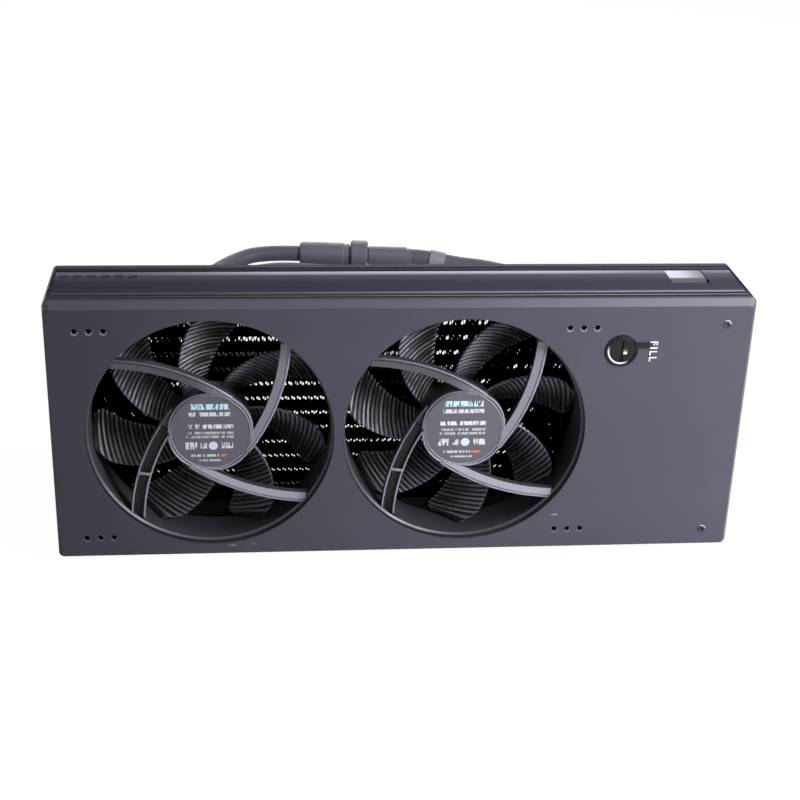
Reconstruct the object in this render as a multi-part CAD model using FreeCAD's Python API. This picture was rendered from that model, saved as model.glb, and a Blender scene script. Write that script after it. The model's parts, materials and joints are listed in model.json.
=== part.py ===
# All in one CPU liquid cooler: a free-standing metal case with two 140 mm fans, a radiator,
# a reservoir and a pump, and two hoses that lead through a quick coupling to a CPU block.
# Millimetres. X runs along the case, -Y is the fan side, +Z is up.
# The origin is the middle of the case's underside.
import FreeCAD, Part
import math
import os

V = FreeCAD.Vector
os.makedirs("parts", exist_ok=True)

# Case; its length, depth and height follow from what it holds
sheet = 1.5                  # wall of both covers
left_space = 15.6            # left end to the radiator's core
right_space = 20.6           # reservoir to the right end
under_fans = 6.0             # case's underside to the fans
above_fans = 8.0             # fans to the case's top
behind_radiator = 9.6        # radiator to the rear wall
corner_radius = 3.0          # case corners seen from the front
corner_floor = 0.6           # smallest corner inside a wall
top_bevel = 3.8              # sloped front edge along the top
side_bevel = 2.3             # narrower slope along the ends and the bottom
rear_bevel = 1.8             # bevelled rear edge
front_lip = 7.6              # top lip of the front cover, front to back
rear_lip = 7.6               # depth of the rear cover
seam_gap = 0.3
window_bar = 6.0             # bar between the rear windows
window_corner = 8.0
window_end_margin = 6.0      # rear window inside the core's end

# Fans
fan_size = 140.0
fan_thickness = 25.0
fan_hole_inset = 7.75        # mounting hole from the fan's side
fan_hole_pitch = fan_size - 2 * fan_hole_inset
fan_hole_radius = 2.15
fan_row_inset = 0.6          # first fan from the core's end
fan_setback = 2.4            # fans behind the cover's front sheet
duct_inset = 3.8             # duct from the fan's side
duct_radius = fan_size / 2 - duct_inset
fan_opening_gap = 1.6        # cover's opening round the duct
fan_opening_radius = duct_radius + fan_opening_gap
duct_inlet = 1.0             # bevel round the duct's front
duct_wall = 2.2
flange_thickness = 4.5
frame_corner = 8.0
blade_count = 7
blade_tip_gap = 1.3
blade_front = 11.5           # blade's front edge behind the fan's front face
blade_rear = 23.6            # blade's rear edge behind the fan's front face
blade_thickness = 1.5
blade_sweep = 0.77           # degrees of sweep per millimetre of radius
blade_chord_root = 33.0      # degrees
blade_chord_tip = 26.0       # degrees
blade_angle_radius = 45.0    # the blade angles are given at this radius
blade_camber = 1.3
blade_steps = 4              # flat faces across a blade
rotor_angles = (7.9, -15.0)  # where each rotor stands at rest
hub_base_radius = 22.8
hub_base_thickness = 3.0
hub_recess = 1.2             # hub base behind the fan's front face
hub_lobe_radius = 21.5       # lobes that lead the struts into the hub base
hub_lobe_offset = 2.6
hub_lobe_angle = 45.0
hub_radius = 22.0
hub_wall = 1.6
hub_gap = 1.0                # rotor cup behind the hub base
hub_depth = 17.5
hub_boss = 4.0               # boss that holds the shaft
hub_cap = 0.8                # left over the shaft's end
label_radius = 21.3
label_thickness = 0.3
label_seat = 0.15
bearing_radius = 5.5
bush_radius = 3.6
bush_length = 11.0
fan_shaft_radius = 1.5
running_gap = 0.05
magnet_thickness = 1.8
magnet_length = 11.0
stator_radius = 15.5
stator_length = 9.0
stator_gap = 1.0             # base to the stator
stator_ring = 2.5            # wall of the ring that joins the poles
stator_pole_width = 5.0
stator_shoe = 2.0
strut_width = 5.6
strut_depth = 4.2
strut_end_angle = 142.0      # outer end of the first strut
strut_dip = 2.5               # its middle inside the mean of hub and duct
strut_landing_gap = 3.2       # its middle line outside the hub where it lands
strut_middle = (121.5, (hub_base_radius + duct_radius) / 2 - strut_dip)  # angle and radius half way
strut_landing = (90.0, hub_base_radius + strut_landing_gap)  # angle and radius at the hub
strut_run_in = 7.0           # degrees of its own arc that it runs on along the hub
channel_width = 7.8          # the strut that carries the leads
channel_wall = 1.1
channel_floor = 1.0
strut_turns = (0, -90, -180)
channel_turn = -270
lead_count = 4
lead_radius = 0.6
lead_end_gap = 2.0           # leads end before the hub
screw_head_radius = 3.3
screw_head_height = 2.2
screw_radius = 1.75
screw_clearance = 0.1

# Small holes beside each outer fan corner
trio_pitch = 7.5
trio_radius = 1.5

# Cover screws and posts
cover_screw_inset = 16.2     # from the case's right end
post_left_inset = 7.6        # from the case's left end
cover_screw_low = 11.8       # above the underside
cover_screw_drop = 14.4      # below the top
cover_screw_radius = 1.45
cover_screw_head = 2.6
cover_head_depth = 1.3
cover_screw_length = 9.0
post_radius = 3.4

# Radiator
radiator_thickness = 20.0
core_depth = 13.5
tube_pitch = 9.15
tube_thickness = 1.7
fin_rows = 14
fin_fold = 22.6
fin_inset = 0.4              # fins' edges inside the tubes'
fin_sheet = 0.5
rail_sheet = 1.2
rail_flange = 9.0
tank_width = 12.0
tank_end_inset = 4.6         # tank's ends clear the cover posts
tank_overhang = 2.0          # tank deeper than the core, each side
tank_wall = 1.5
header_width = 3.0

# Reservoir and fill port
reservoir_length = 63.6
reservoir_wall = 3.0
reservoir_front = 4.0        # behind the case's front
reservoir_rear_gap = 8.0     # before the case's rear
reservoir_corner = 4.0
reservoir_inner_corner = 2.5
reservoir_pump_gap = 1.6
fill_inset = 10.5            # port's axis from the reservoir's left side
fill_drop = 21.5             # port's axis below the reservoir's top
fill_collar_radius = 9.15
fill_thread_radius = 6.6
fill_plug_head = 7.6
fill_plug_length = 9.0
fill_proud = 0.6             # collar before the case's front
fill_plug_drop = 0.3         # plug's face behind the collar's
fill_head_height = 2.0
fill_neck_length = 7.0
fill_boss = 8.0              # depth of the reservoir's boss
fill_neck_step = 1.3         # collar's neck narrower than its flange
fill_slot_margin = 1.6
thread_gap = 0.15
fill_slot_width = 2.0
fill_slot_depth = 1.3
o_ring_section = 1.1
port_clearance = 0.25

# Top strip
strip_bezel_start = 10.2     # from the case's front
strip_bezel_gap = 1.8        # between the bezel and the covers' seam
strip_front_margin = 5.8     # bezel's front edge to the strip
strip_rear_margin = 2.0
strip_bezel_wall = 1.2
strip_bezel_slope = 1.0
strip_bezel_drop = 0.9       # bezel's rim below the case's top
strip_rounding = 1.6
strip_floor_gap = 2.6
bezel_clearance = 0.3
led_board_width = 12.0
led_board_thickness = 1.0
led_size = 3.0
led_height = 0.8
led_count = 12
led_end_gap = 6.0
level_window_inset = 0.6     # before the reservoir's right side
level_window_length = 21.0
level_window_depth = 21.1
level_window_margin = 1.0    # strip's rear edge to the window
level_window_slope = 7.5
level_window_drop = 0.35
level_window_dip = 1.6
level_window_thickness = 3.4

# Pump
pump_inset = 38.7            # axis from the reservoir's left side
pump_y = 29.0                # behind the case's front
pump_radius = 21.5
pump_foot_height = 6.5
pump_foot_bore = 8.0
pump_foot_slope = 2.0        # foot narrower than the motor
pump_motor_height = 30.0
pump_top_size = 19.4         # height of the pump's top
pump_wall = 2.5
pump_neck_wall = 3.0
impeller_radius = 15.0
impeller_gap = 1.5           # seam to the impeller's disc
impeller_hub = 3.0           # height of its hub above the disc's underside
impeller_disc = 1.6
impeller_vane_height = 5.0
impeller_vane_width = 1.4
impeller_vane_lean = 28.0    # degrees off the radius
impeller_eye = 5.0
impeller_vanes = 6
pump_chamber_radius = 17.0
rotor_magnet_radius = 7.0
rotor_well_radius = 7.8
rotor_well_wall = 1.4
pump_floor = 2.0             # motor housing's floor
pump_well_rise = 2.0         # well's floor above it
coil_room_drop = 5.0         # coil room below the seam
coil_gap = 0.3
coil_slot_width = 2.4
pump_shaft_radius = 1.5
pump_stator_radius = 17.0
pump_inlet_radius = 6.0
pump_seal_radius = 18.6
pump_outlet_offset = 12.5
pump_port_rise = 8.0         # port's axis above the seam

# Fittings on the rear
inlet_inset = 8.4            # inlet's axis from the reservoir's left side
fitting_bore = 4.5
fitting_radius = 8.0
fitting_seat = 10.6
fitting_seat_thickness = 3.0
fitting_neck = 6.0
duct_half = 6.0              # half height of the duct to the header plate
duct_plate = 3.2
nut_radius = 9.6
nut_length = 14.0
nut_step = 1.4               # skirt inside the hexagon's corners

# Hoses
hose_radius = 6.4
hose_sides = 12

# Quick coupling, along its own axis from the middle of the collar
coupling_place = (9.0, 440.8, 13.0)
coupling_turn = -5.3         # degrees about Z
collar_radius = 12.4
collar_half = 7.2
collar_bevel = 1.4
socket_start = -50.0
socket_nut_end = -13.0
socket_nut_radius = 10.0
socket_body_radius = 9.2
plug_body_end = 40.0
plug_body_radius = 7.9
plug_tail_end = 44.0
coupling_gap = 0.2           # collar over the socket
plug_gap = 0.25              # plug's pin in the socket
sleeve_start = 5.5           # from the bend behind the plug
sleeve_radius = 7.5          # sleeve on the hose beside the plug
sleeve_length = 13.0
coupling_bore = 4.0
coupling_pin_radius = 6.0
coupling_step = 1.0          # socket's neck inside its body
pin_start = -4.0

# CPU block, behind the case
block_x = 20.0
block_y = 172.0
block_size = 58.0
cold_plate_size = 52.0
cold_plate_thickness = 4.0
block_corner = 6.0
block_body_height = 14.0
block_lid_height = 3.0
bracket_sheet = 2.0
bracket_hole_pitch = 75.0
bracket_hole_radius = 2.1
bracket_arm_width = 13.0
block_port_spacing = 26.0
block_port_x = -6.0
elbow_radius = 8.0
elbow_axis_height = 34.0
elbow_reach = 10.0
elbow_step = 0.8             # spout thinner than the stem
block_gap = 0.2
block_margin = 4.0           # bracket's middle inside the block's edge
lid_margin = 2.0             # lid inside the block's edge
lid_step_margin = 7.0
chamber_half = (16.0, 17.0)
gasket_half = (21.0, 22.0)
gasket_width = 2.5
micro_fin_area = (28.0, 26.0)
micro_fins = 18
micro_fin_height = 2.4
gasket_section = 1.4

# Cable outlet
grommet_inset = 10.0         # from the case's right end
grommet_height = 30.0
grommet_radius = 5.0
grommet_bore = 2.6
grommet_lip = 1.2
grommet_flange = 1.6

# Derived places
core_length = 2 * (fan_size + fan_row_inset)
case_length = left_space + core_length + header_width + reservoir_length + right_space
case_depth = 2 * sheet + fan_setback + fan_thickness + radiator_thickness + behind_radiator
case_height = under_fans + fan_size + above_fans
fan_axis_height = under_fans + fan_size / 2
left = -case_length / 2
right = case_length / 2
front = -case_depth / 2
rear = case_depth / 2
front_inner = front + sheet
rear_inner = rear - sheet
seam = rear - rear_lip
core_left = left + left_space
core_right = core_left + core_length
fan_centres = [core_left + fan_row_inset + fan_size * (i + 0.5) for i in range(2)]
fan_front = front_inner + fan_setback
fan_rear = fan_front + fan_thickness
fan_top = fan_axis_height + fan_size / 2
radiator_rear = fan_rear + radiator_thickness
core_middle = fan_rear + radiator_thickness / 2
core_height = fin_rows * tube_pitch
core_bottom = fan_axis_height - core_height / 2
core_top = fan_axis_height + core_height / 2
cover_screw_heights = (cover_screw_low, case_height - cover_screw_drop)
strip_bezel_front = front + strip_bezel_start
strip_bezel_rear = seam - strip_bezel_gap
strip_front = strip_bezel_front + strip_front_margin
strip_rear = strip_bezel_rear - strip_rear_margin
pump_foot_top = sheet + pump_foot_height
pump_seam = pump_foot_top + pump_motor_height
pump_roof = pump_seam + pump_top_size
pump_port_height = pump_seam + pump_port_rise
impeller_bottom = pump_seam + impeller_gap
reservoir_left = core_right + header_width
reservoir_right = reservoir_left + reservoir_length
reservoir_bottom = pump_roof + reservoir_pump_gap
reservoir_top = fan_top
fill_place = (reservoir_left + fill_inset, reservoir_top - fill_drop)
pump_centre = (reservoir_left + pump_inset, front + pump_y)
outlet_x = pump_centre[0] + pump_outlet_offset
fittings_x = (reservoir_left + inlet_inset, outlet_x)
fitting_height = pump_port_height


def save(name, shape):
    shape.exportStep("parts/" + name + ".step")


def box(x0, x1, y0, y1, z0, z1):
    return Part.makeBox(x1 - x0, y1 - y0, z1 - z0, V(x0, y0, z0))


def polar(angle, radius):
    a = math.radians(angle)
    return radius * math.cos(a), radius * math.sin(a)


def rod_x(x0, x1, y, z, radius):
    return Part.makeCylinder(radius, x1 - x0, V(x0, y, z), V(1, 0, 0))


def rod_y(x, y0, y1, z, radius):
    return Part.makeCylinder(radius, y1 - y0, V(x, y0, z), V(0, 1, 0))


def rod_z(x, y, z0, z1, radius):
    return Part.makeCylinder(radius, z1 - z0, V(x, y, z0), V(0, 0, 1))


def hex_y(x, y0, y1, z, radius):
    """Six-sided bar along Y."""
    points = [V(x + polar(60 * i, radius)[0], y0, z + polar(60 * i, radius)[1]) for i in range(6)]
    return Part.Face(Part.makePolygon(points + points[:1])).extrude(V(0, y1 - y0, 0))


def cone_y(x, y0, y1, z, radius0, radius1):
    return Part.makeCone(radius0, radius1, y1 - y0, V(x, y0, z), V(0, 1, 0))


def fuse(shapes):
    first = shapes[0]
    return first.fuse(shapes[1:]).removeSplitter() if len(shapes) > 1 else first


def turned(profile):
    """Solid of revolution about Z from (radius, height) points."""
    points = [V(r, 0, z) for r, z in profile]
    face = Part.Face(Part.makePolygon(points + points[:1]))
    return face.revolve(V(0, 0, 0), V(0, 0, 1), 360)


def rounded_outline(x0, x1, z0, z1, radius, y):
    """Closed outline with round corners in the plane of that y."""
    r = min(radius, 0.49 * (x1 - x0), 0.49 * (z1 - z0))
    corners = ((x1 - r, z1 - r, 0), (x0 + r, z1 - r, 90), (x0 + r, z0 + r, 180), (x1 - r, z0 + r, 270))
    edges = []
    ends = []
    for cx, cz, start in corners:
        a, m, b = (math.radians(start + step) for step in (0, 45, 90))
        points = [V(cx + r * math.cos(t), y, cz + r * math.sin(t)) for t in (a, m, b)]
        ends.append((points[0], points[2]))
        edges.append(Part.Arc(*points).toShape())
    for i in range(4):
        edges.append(Part.makeLine(ends[i][1], ends[(i + 1) % 4][0]))
    return Part.Wire(Part.__sortEdges__(edges))


def slab_y(x0, x1, y0, y1, z0, z1, radius):
    """Plate with round corners seen along Y."""
    face = Part.Face(rounded_outline(x0, x1, z0, z1, radius, y0))
    return face.extrude(V(0, y1 - y0, 0))


def bevelled_front(inset, y0, y1):
    """Case body with sloped front edges, its sides moved in by the inset."""
    outer = max(corner_radius - inset, corner_floor)
    x0, x1, z0, z1 = left + inset, right - inset, inset, case_height - inset
    small = rounded_outline(x0 + side_bevel, x1 - side_bevel, z0 + side_bevel, z1 - top_bevel, outer, y0)
    full = rounded_outline(x0, x1, z0, z1, outer, y0 + top_bevel)
    nose = Part.makeLoft([small, full], True, True)
    return nose.fuse(slab_y(x0, x1, y0 + top_bevel, y1, z0, z1, outer))


# Covers
def trio_places():
    """Centres of the small holes, three beside each outer fan corner."""
    for x, side in ((fan_centres[0] - fan_hole_pitch / 2, -1), (fan_centres[1] + fan_hole_pitch / 2, 1)):
        for z in (fan_axis_height - fan_hole_pitch / 2, fan_axis_height + fan_hole_pitch / 2):
            for step in (-1, 0, 1):
                yield x + step * trio_pitch, z


def make_fan_cover():
    body = bevelled_front(0, front, seam)
    cavity = bevelled_front(sheet, front_inner, seam + 1)
    body = body.cut(cavity)
    body = body.cut(box(left + sheet, right - sheet, front + front_lip, seam + 1,
                        case_height - 3 * sheet, case_height + 1))
    cutters = [rod_y(x, front - 1, front + 10, fan_axis_height, fan_opening_radius) for x in fan_centres]
    for x, z in trio_places():
        cutters.append(rod_y(x, front - 1, front_inner + 1, z, trio_radius))
    for z in cover_screw_heights:
        x = right - cover_screw_inset
        cutters.append(rod_y(x, front - 1, front_inner + 1, z, cover_screw_radius + screw_clearance))
        cutters.append(cone_y(x, front, front + cover_head_depth, z,
                              cover_screw_head + screw_clearance, cover_screw_radius + screw_clearance))
    x, z = fill_place
    cutters.append(rod_y(x, front - 1, front_inner + 1, z, fill_collar_radius + port_clearance))
    return body.cut(cutters)


def window_edges():
    """The two rear windows as (x0, x1, z0, z1)."""
    start = core_left + window_end_margin
    end = core_right - window_end_margin
    middle = (fan_centres[0] + fan_centres[1]) / 2
    low = core_bottom + rail_flange - rail_sheet
    high = core_top - rail_flange + rail_sheet
    return ((start, middle - window_bar / 2, low, high), (middle + window_bar / 2, end, low, high))


def make_rear_cover():
    start = seam + seam_gap
    body = slab_y(left, right, start, rear, 0, case_height, corner_radius)
    edges = [e for e in body.Edges if all(abs(v.Point.y - rear) < 0.01 for v in e.Vertexes)]
    body = body.makeChamfer(rear_bevel, edges)
    body = body.cut(slab_y(left + sheet, right - sheet, start - 1, rear_inner, sheet, case_height - sheet,
                           corner_radius - sheet))
    for x0, x1, z0, z1 in window_edges():
        rim = slab_y(x0 - sheet, x1 + sheet, radiator_rear, rear_inner + 0.1, z0 - sheet, z1 + sheet,
                     window_corner + sheet)
        body = body.fuse(rim)
    for x0, x1, z0, z1 in window_edges():
        body = body.cut(slab_y(x0, x1, radiator_rear - 1, rear + 1, z0, z1, window_corner))
    cutters = []
    for x, z in post_places():
        cutters.append(rod_y(x, rear_inner - 1, rear + 1, z, cover_screw_radius + screw_clearance))
        cutters.append(cone_y(x, rear - cover_head_depth, rear, z,
                              cover_screw_radius + screw_clearance, cover_screw_head + screw_clearance))
    for x in fittings_x:
        cutters.append(rod_y(x, rear_inner - 1, rear + 1, fitting_height, fitting_radius + port_clearance))
    cutters.append(rod_y(right - grommet_inset, rear_inner - 1, rear + 1, grommet_height, grommet_radius))
    return body.cut(cutters)


def post_places():
    for x in (left + post_left_inset, right - cover_screw_inset):
        for z in cover_screw_heights:
            yield x, z


def make_posts():
    posts = []
    for x, z in post_places():
        post = hex_y(x, front_inner, rear_inner, z, post_radius)
        bore = cover_screw_radius + running_gap
        ends = [rod_y(x, front_inner - 1, front + cover_screw_length + 1, z, bore),
                rod_y(x, rear - cover_screw_length - 1, rear_inner + 1, z, bore)]
        posts.append(post.cut(ends))
    return Part.Compound(posts)


def countersunk_screw(x, y, z, way):
    """Cover screw whose flat head lies at y and whose shank runs along way."""
    profile = [(0, 0), (cover_screw_head, 0), (cover_screw_radius, cover_head_depth),
               (cover_screw_radius, cover_screw_length), (0, cover_screw_length)]
    screw = turned(profile)
    screw.Placement = FreeCAD.Placement(V(x, y, z), FreeCAD.Rotation(V(0, 0, 1), V(0, way, 0)))
    return screw


def make_cover_screws():
    front_pair = [countersunk_screw(right - cover_screw_inset, front, z, 1) for z in cover_screw_heights]
    return Part.Compound(front_pair + [countersunk_screw(x, rear, z, -1) for x, z in post_places()])


# Top strip
def bezel_top():
    return case_height - strip_bezel_drop


def window_box(grow):
    x1 = reservoir_right + level_window_inset + grow
    x0 = x1 - level_window_length - 2 * grow
    y1 = strip_rear - level_window_margin + grow
    return x0, x1, y1 - level_window_depth - 2 * grow, y1


def make_strip_bezel():
    x0, x1 = left + sheet + bezel_clearance, right - sheet - bezel_clearance
    y0, y1 = strip_bezel_front, strip_bezel_rear
    top = bezel_top()
    body = box(x0, x1, y0, y1, fan_top, top)
    slope = strip_bezel_slope
    nose = Part.makePolygon([V(x0, y0, top - slope), V(x0, y0, top), V(x0, y0 + slope, top),
                             V(x0, y0, top - slope)])
    body = body.cut(Part.Face(nose).extrude(V(x1 - x0, 0, 0)))
    body = body.cut(box(x0 + strip_bezel_wall, x1 - strip_bezel_wall, strip_front - bezel_clearance,
                        strip_rear + bezel_clearance, fan_top + strip_bezel_wall, top + 1))
    wx0, wx1, wy0, wy1 = window_box(-level_window_thickness / 2)
    return body.cut(box(wx0, wx1, wy0, wy1, fan_top - 1, top + 1))


def strip_section(x):
    """Outline of the light strip across the case, its top edges round."""
    y0, y1 = strip_front, strip_rear
    z0, z1 = fan_top + strip_bezel_wall, case_height
    r = strip_rounding
    s = r * math.sin(math.pi / 4)
    edges = [
        Part.makeLine(V(x, y0, z0), V(x, y0, z1 - r)),
        Part.Arc(V(x, y0, z1 - r), V(x, y0 + r - s, z1 - r + s), V(x, y0 + r, z1)).toShape(),
        Part.makeLine(V(x, y0 + r, z1), V(x, y1 - r, z1)),
        Part.Arc(V(x, y1 - r, z1), V(x, y1 - r + s, z1 - r + s), V(x, y1, z1 - r)).toShape(),
        Part.makeLine(V(x, y1, z1 - r), V(x, y1, z0)),
        Part.makeLine(V(x, y1, z0), V(x, y0, z0)),
    ]
    return Part.Face(Part.Wire(edges))


def make_light_strip():
    x0 = left + sheet + bezel_clearance + strip_bezel_wall + bezel_clearance
    x1 = -x0
    body = strip_section(x0).extrude(V(x1 - x0, 0, 0))
    middle = (strip_front + strip_rear) / 2
    half = led_board_width / 2 + bezel_clearance
    body = body.cut(box(x0 - 1, x1 + 1, middle - half, middle + half, fan_top - 1,
                        fan_top + strip_bezel_wall + strip_floor_gap))
    wx0, wx1, wy0, wy1 = window_box(bezel_clearance / 3)
    return body.cut(box(wx0, wx1, wy0, wy1, fan_top - 1, case_height + 1))


def make_level_window():
    """Clear block whose shoulder rests on the bezel and whose foot stands on the reservoir."""
    x0, x1, y0, y1 = window_box(0)
    top = case_height - level_window_drop
    ledge = fan_top + strip_bezel_wall
    bend = y0 + level_window_slope
    points = [V(x0, y0, ledge), V(x0, y0, top - level_window_dip), V(x0, bend, top), V(x0, y1, top),
              V(x0, y1, ledge)]
    shoulder = Part.Face(Part.makePolygon(points + points[:1])).extrude(V(x1 - x0, 0, 0))
    inset = level_window_thickness / 2 + port_clearance / 2
    foot = box(x0 + inset, x1 - inset, y0 + inset, y1 - inset, reservoir_top, ledge + 0.1)
    return shoulder.fuse(foot).removeSplitter()


def make_led_board():
    middle = (strip_front + strip_rear) / 2
    x0 = left + sheet + 2 * led_end_gap
    x1 = window_box(0)[0] - led_end_gap
    z0 = fan_top + strip_bezel_wall
    half = led_board_width / 2
    pieces = [box(x0, x1, middle - half, middle + half, z0, z0 + led_board_thickness)]
    pitch = (x1 - x0) / led_count
    for i in range(led_count):
        x = x0 + pitch * (i + 0.5)
        pieces.append(box(x - led_size / 2, x + led_size / 2, middle - led_size / 2, middle + led_size / 2,
                          z0 + led_board_thickness, z0 + led_board_thickness + led_height))
    return fuse(pieces)


# Fans
def arc_through(a, b, c):
    """Centre and radius of the circle through three (x, z) points."""
    (ax, az), (bx, bz), (cx, cz) = a, b, c
    d = 2 * (ax * (bz - cz) + bx * (cz - az) + cx * (az - bz))
    sa, sb, sc = ax * ax + az * az, bx * bx + bz * bz, cx * cx + cz * cz
    ux = (sa * (bz - cz) + sb * (cz - az) + sc * (az - bz)) / d
    uz = (sa * (cx - bx) + sb * (ax - cx) + sc * (bx - ax)) / d
    return (ux, uz), math.hypot(ax - ux, az - uz)


def strut_line(turn):
    """Middle line of a strut, from the duct to the hub, as three (x, z) points."""
    outer = polar(strut_end_angle + turn, duct_radius + 1)
    middle = polar(strut_middle[0] + turn, strut_middle[1])
    landing = polar(strut_landing[0] + turn, strut_landing[1])
    return outer, middle, landing


def curved_bar(turn, width, y0, y1, shift=0.0):
    """Bar of that width along a strut's middle line, moved sideways by the shift."""
    outer, middle, landing = strut_line(turn)
    (cx, cz), radius = arc_through(outer, middle, landing)
    angles = [math.atan2(p[1] - cz, p[0] - cx) for p in (outer, middle, landing)]
    angles[2] -= math.radians(strut_run_in)

    def point(r, a):
        return V(cx + r * math.cos(a), y0, cz + r * math.sin(a))

    r0, r1 = radius + shift - width / 2, radius + shift + width / 2
    edges = [
        Part.Arc(*[point(r1, a) for a in angles]).toShape(),
        Part.makeLine(point(r1, angles[2]), point(r0, angles[2])),
        Part.Arc(*[point(r0, a) for a in reversed(angles)]).toShape(),
        Part.makeLine(point(r0, angles[0]), point(r1, angles[0])),
    ]
    return Part.Face(Part.Wire(edges)).extrude(V(0, y1 - y0, 0))


def make_fan_frame():
    """Fan frame about its own axis, front face at y = 0."""
    half = fan_size / 2
    wall = rod_y(0, 0, fan_thickness, 0, duct_radius + duct_wall)
    plates = [slab_y(-half, half, 0, flange_thickness, -half, half, frame_corner),
              slab_y(-half, half, fan_thickness - flange_thickness, fan_thickness, -half, half, frame_corner)]
    frame = fuse([wall] + plates)
    frame = frame.cut(rod_y(0, -1, fan_thickness + 1, 0, duct_radius))
    frame = frame.cut(Part.makeCone(duct_radius + duct_inlet, duct_radius, duct_inlet, V(0, 0, 0), V(0, 1, 0)))
    y0 = hub_recess
    y1 = y0 + strut_depth
    hub = rod_y(0, y0, y0 + hub_base_thickness, 0, hub_base_radius)
    lobes = [rod_y(x, y0, y0 + hub_base_thickness, z, hub_lobe_radius)
             for x, z in (polar(hub_lobe_angle + turn, hub_lobe_offset) for turn in strut_turns + (channel_turn,))]
    bearing = rod_y(0, y0, y0 + hub_base_thickness + hub_gap + stator_length + 1.5, 0, bearing_radius)
    bars = [curved_bar(turn, strut_width, y0, y1) for turn in strut_turns]
    channel = curved_bar(channel_turn, channel_width, y0, y1)
    groove = curved_bar(channel_turn, channel_width - 2 * channel_wall, y0 - 1, y1 - channel_floor)
    keep = rod_y(0, 0, fan_thickness, 0, duct_radius + duct_wall / 2)
    struts = fuse(bars + [channel.cut(groove)]).common(keep)
    struts = struts.cut(rod_y(0, y0 + hub_base_thickness, y1 + 1, 0, hub_radius + 1.2))
    frame = fuse([frame, hub, bearing, struts] + lobes)
    frame = frame.cut(rod_y(0, y0 + hub_base_thickness - 1, fan_thickness, 0, bush_radius))
    frame = frame.cut(rod_y(0, y0 - 1, y0 + label_seat, 0, label_radius + 0.1))
    offset = fan_hole_pitch / 2
    for x in (-offset, offset):
        for z in (-offset, offset):
            frame = frame.cut(rod_y(x, -1, fan_thickness + 1, z, fan_hole_radius))
            frame = frame.cut(rod_y(x, -1, screw_head_height + 0.3, z, screw_head_radius + 0.25))
    return frame


def blade_section(radius, grow):
    """Front and rear skin points of a blade at one radius, wrapped round the axis."""
    span = (radius - hub_radius) / (duct_radius - blade_tip_gap - hub_radius)
    chord = blade_chord_root + (blade_chord_tip - blade_chord_root) * span
    trail = -blade_sweep * (radius - blade_angle_radius) - grow
    lead = -blade_sweep * (radius - blade_angle_radius) - chord + grow
    half = blade_thickness / 2 * (1.15 - 0.4 * span)
    points = []
    for i in range(blade_steps + 1):
        step = i / blade_steps
        angle = math.radians(lead + (trail - lead) * step)
        camber = blade_camber * 4 * step * (1 - step)
        depth = blade_rear + (blade_front - blade_rear) * step + camber
        x, z = radius * math.cos(angle), radius * math.sin(angle)
        points.append((V(x, depth - half, z), V(x, depth + half, z)))
    return [a for a, b in points] + [b for a, b in reversed(points)]


def flat_face(a, b, c):
    return Part.Face(Part.makePolygon([a, b, c, a]))


def make_blade():
    """One blade as a closed skin of flat faces through its sections."""
    tip = duct_radius - blade_tip_gap
    stations = ((hub_radius - hub_wall / 2, 0), (33, 0), (45, 0), (tip - 6, 0.8), (tip, 6.0))
    rings = [blade_section(radius, grow) for radius, grow in stations]
    faces = []
    count = len(rings[0])
    for inner, outer in zip(rings, rings[1:]):
        for i in range(count):
            j = (i + 1) % count
            faces.append(flat_face(inner[i], inner[j], outer[j]))
            faces.append(flat_face(inner[i], outer[j], outer[i]))
    for ring in (rings[0], rings[-1]):
        for i in range(blade_steps):
            faces.append(flat_face(ring[i], ring[i + 1], ring[count - 2 - i]))
            faces.append(flat_face(ring[i], ring[count - 2 - i], ring[count - 1 - i]))
    shell = Part.makeShell(faces)
    shell.sewShape()
    blade = Part.Solid(shell)
    if blade.Volume < 0:
        blade.reverse()
    return blade


def make_fan_rotor():
    """Hub cup with seven swept blades, about the fan's axis."""
    y0 = hub_recess + hub_base_thickness + hub_gap
    y1 = y0 + hub_depth
    cup = rod_y(0, y0, y1, 0, hub_radius)
    cup = cup.cut(rod_y(0, y0 - 1, y1 - hub_wall, 0, hub_radius - hub_wall))
    boss = rod_y(0, y1 - hub_boss, y1 - 0.5, 0, hub_boss)
    cup = fuse([cup, boss]).cut(rod_y(0, y1 - hub_boss - 0.5, y1 - hub_cap, 0, fan_shaft_radius))
    blade = make_blade()
    blades = []
    for i in range(blade_count):
        copy = blade.copy()
        copy.rotate(V(0, 0, 0), V(0, 1, 0), -360.0 / blade_count * i)
        blades.append(copy)
    return fuse([cup] + blades)


def make_fan_parts(number, x, angle):
    """Every piece of one fan, moved to its place."""
    y0 = hub_recess + hub_base_thickness + hub_gap
    y1 = y0 + hub_depth
    base_rear = hub_recess + hub_base_thickness
    pieces = {"fan_frame": make_fan_frame()}
    rotor = make_fan_rotor()
    rotor.rotate(V(0, 0, 0), V(0, 1, 0), -angle)
    pieces["fan_rotor"] = rotor
    pieces["fan_shaft"] = rod_y(0, base_rear + 0.5, y1 - hub_cap, 0, fan_shaft_radius)
    magnet = rod_y(0, y0 + stator_gap, y0 + stator_gap + magnet_length, 0, hub_radius - hub_wall)
    pieces["fan_magnet"] = magnet.cut(rod_y(0, y0, y1, 0, hub_radius - hub_wall - magnet_thickness))
    bush = rod_y(0, base_rear - 0.9, base_rear + bush_length, 0, bush_radius)
    pieces["fan_bush"] = bush.cut(rod_y(0, base_rear, base_rear + bush_length + 1, 0, fan_shaft_radius + running_gap))
    pieces["fan_stator"] = make_fan_stator(base_rear)
    pieces["fan_label"] = rod_y(0, hub_recess + label_seat - label_thickness, hub_recess + label_seat, 0,
                                label_radius)
    pieces["fan_leads"] = make_fan_leads()
    for name, shape in pieces.items():
        shape.translate(V(x, fan_front, fan_axis_height))
        save(name + "_" + str(number), shape)


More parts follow.
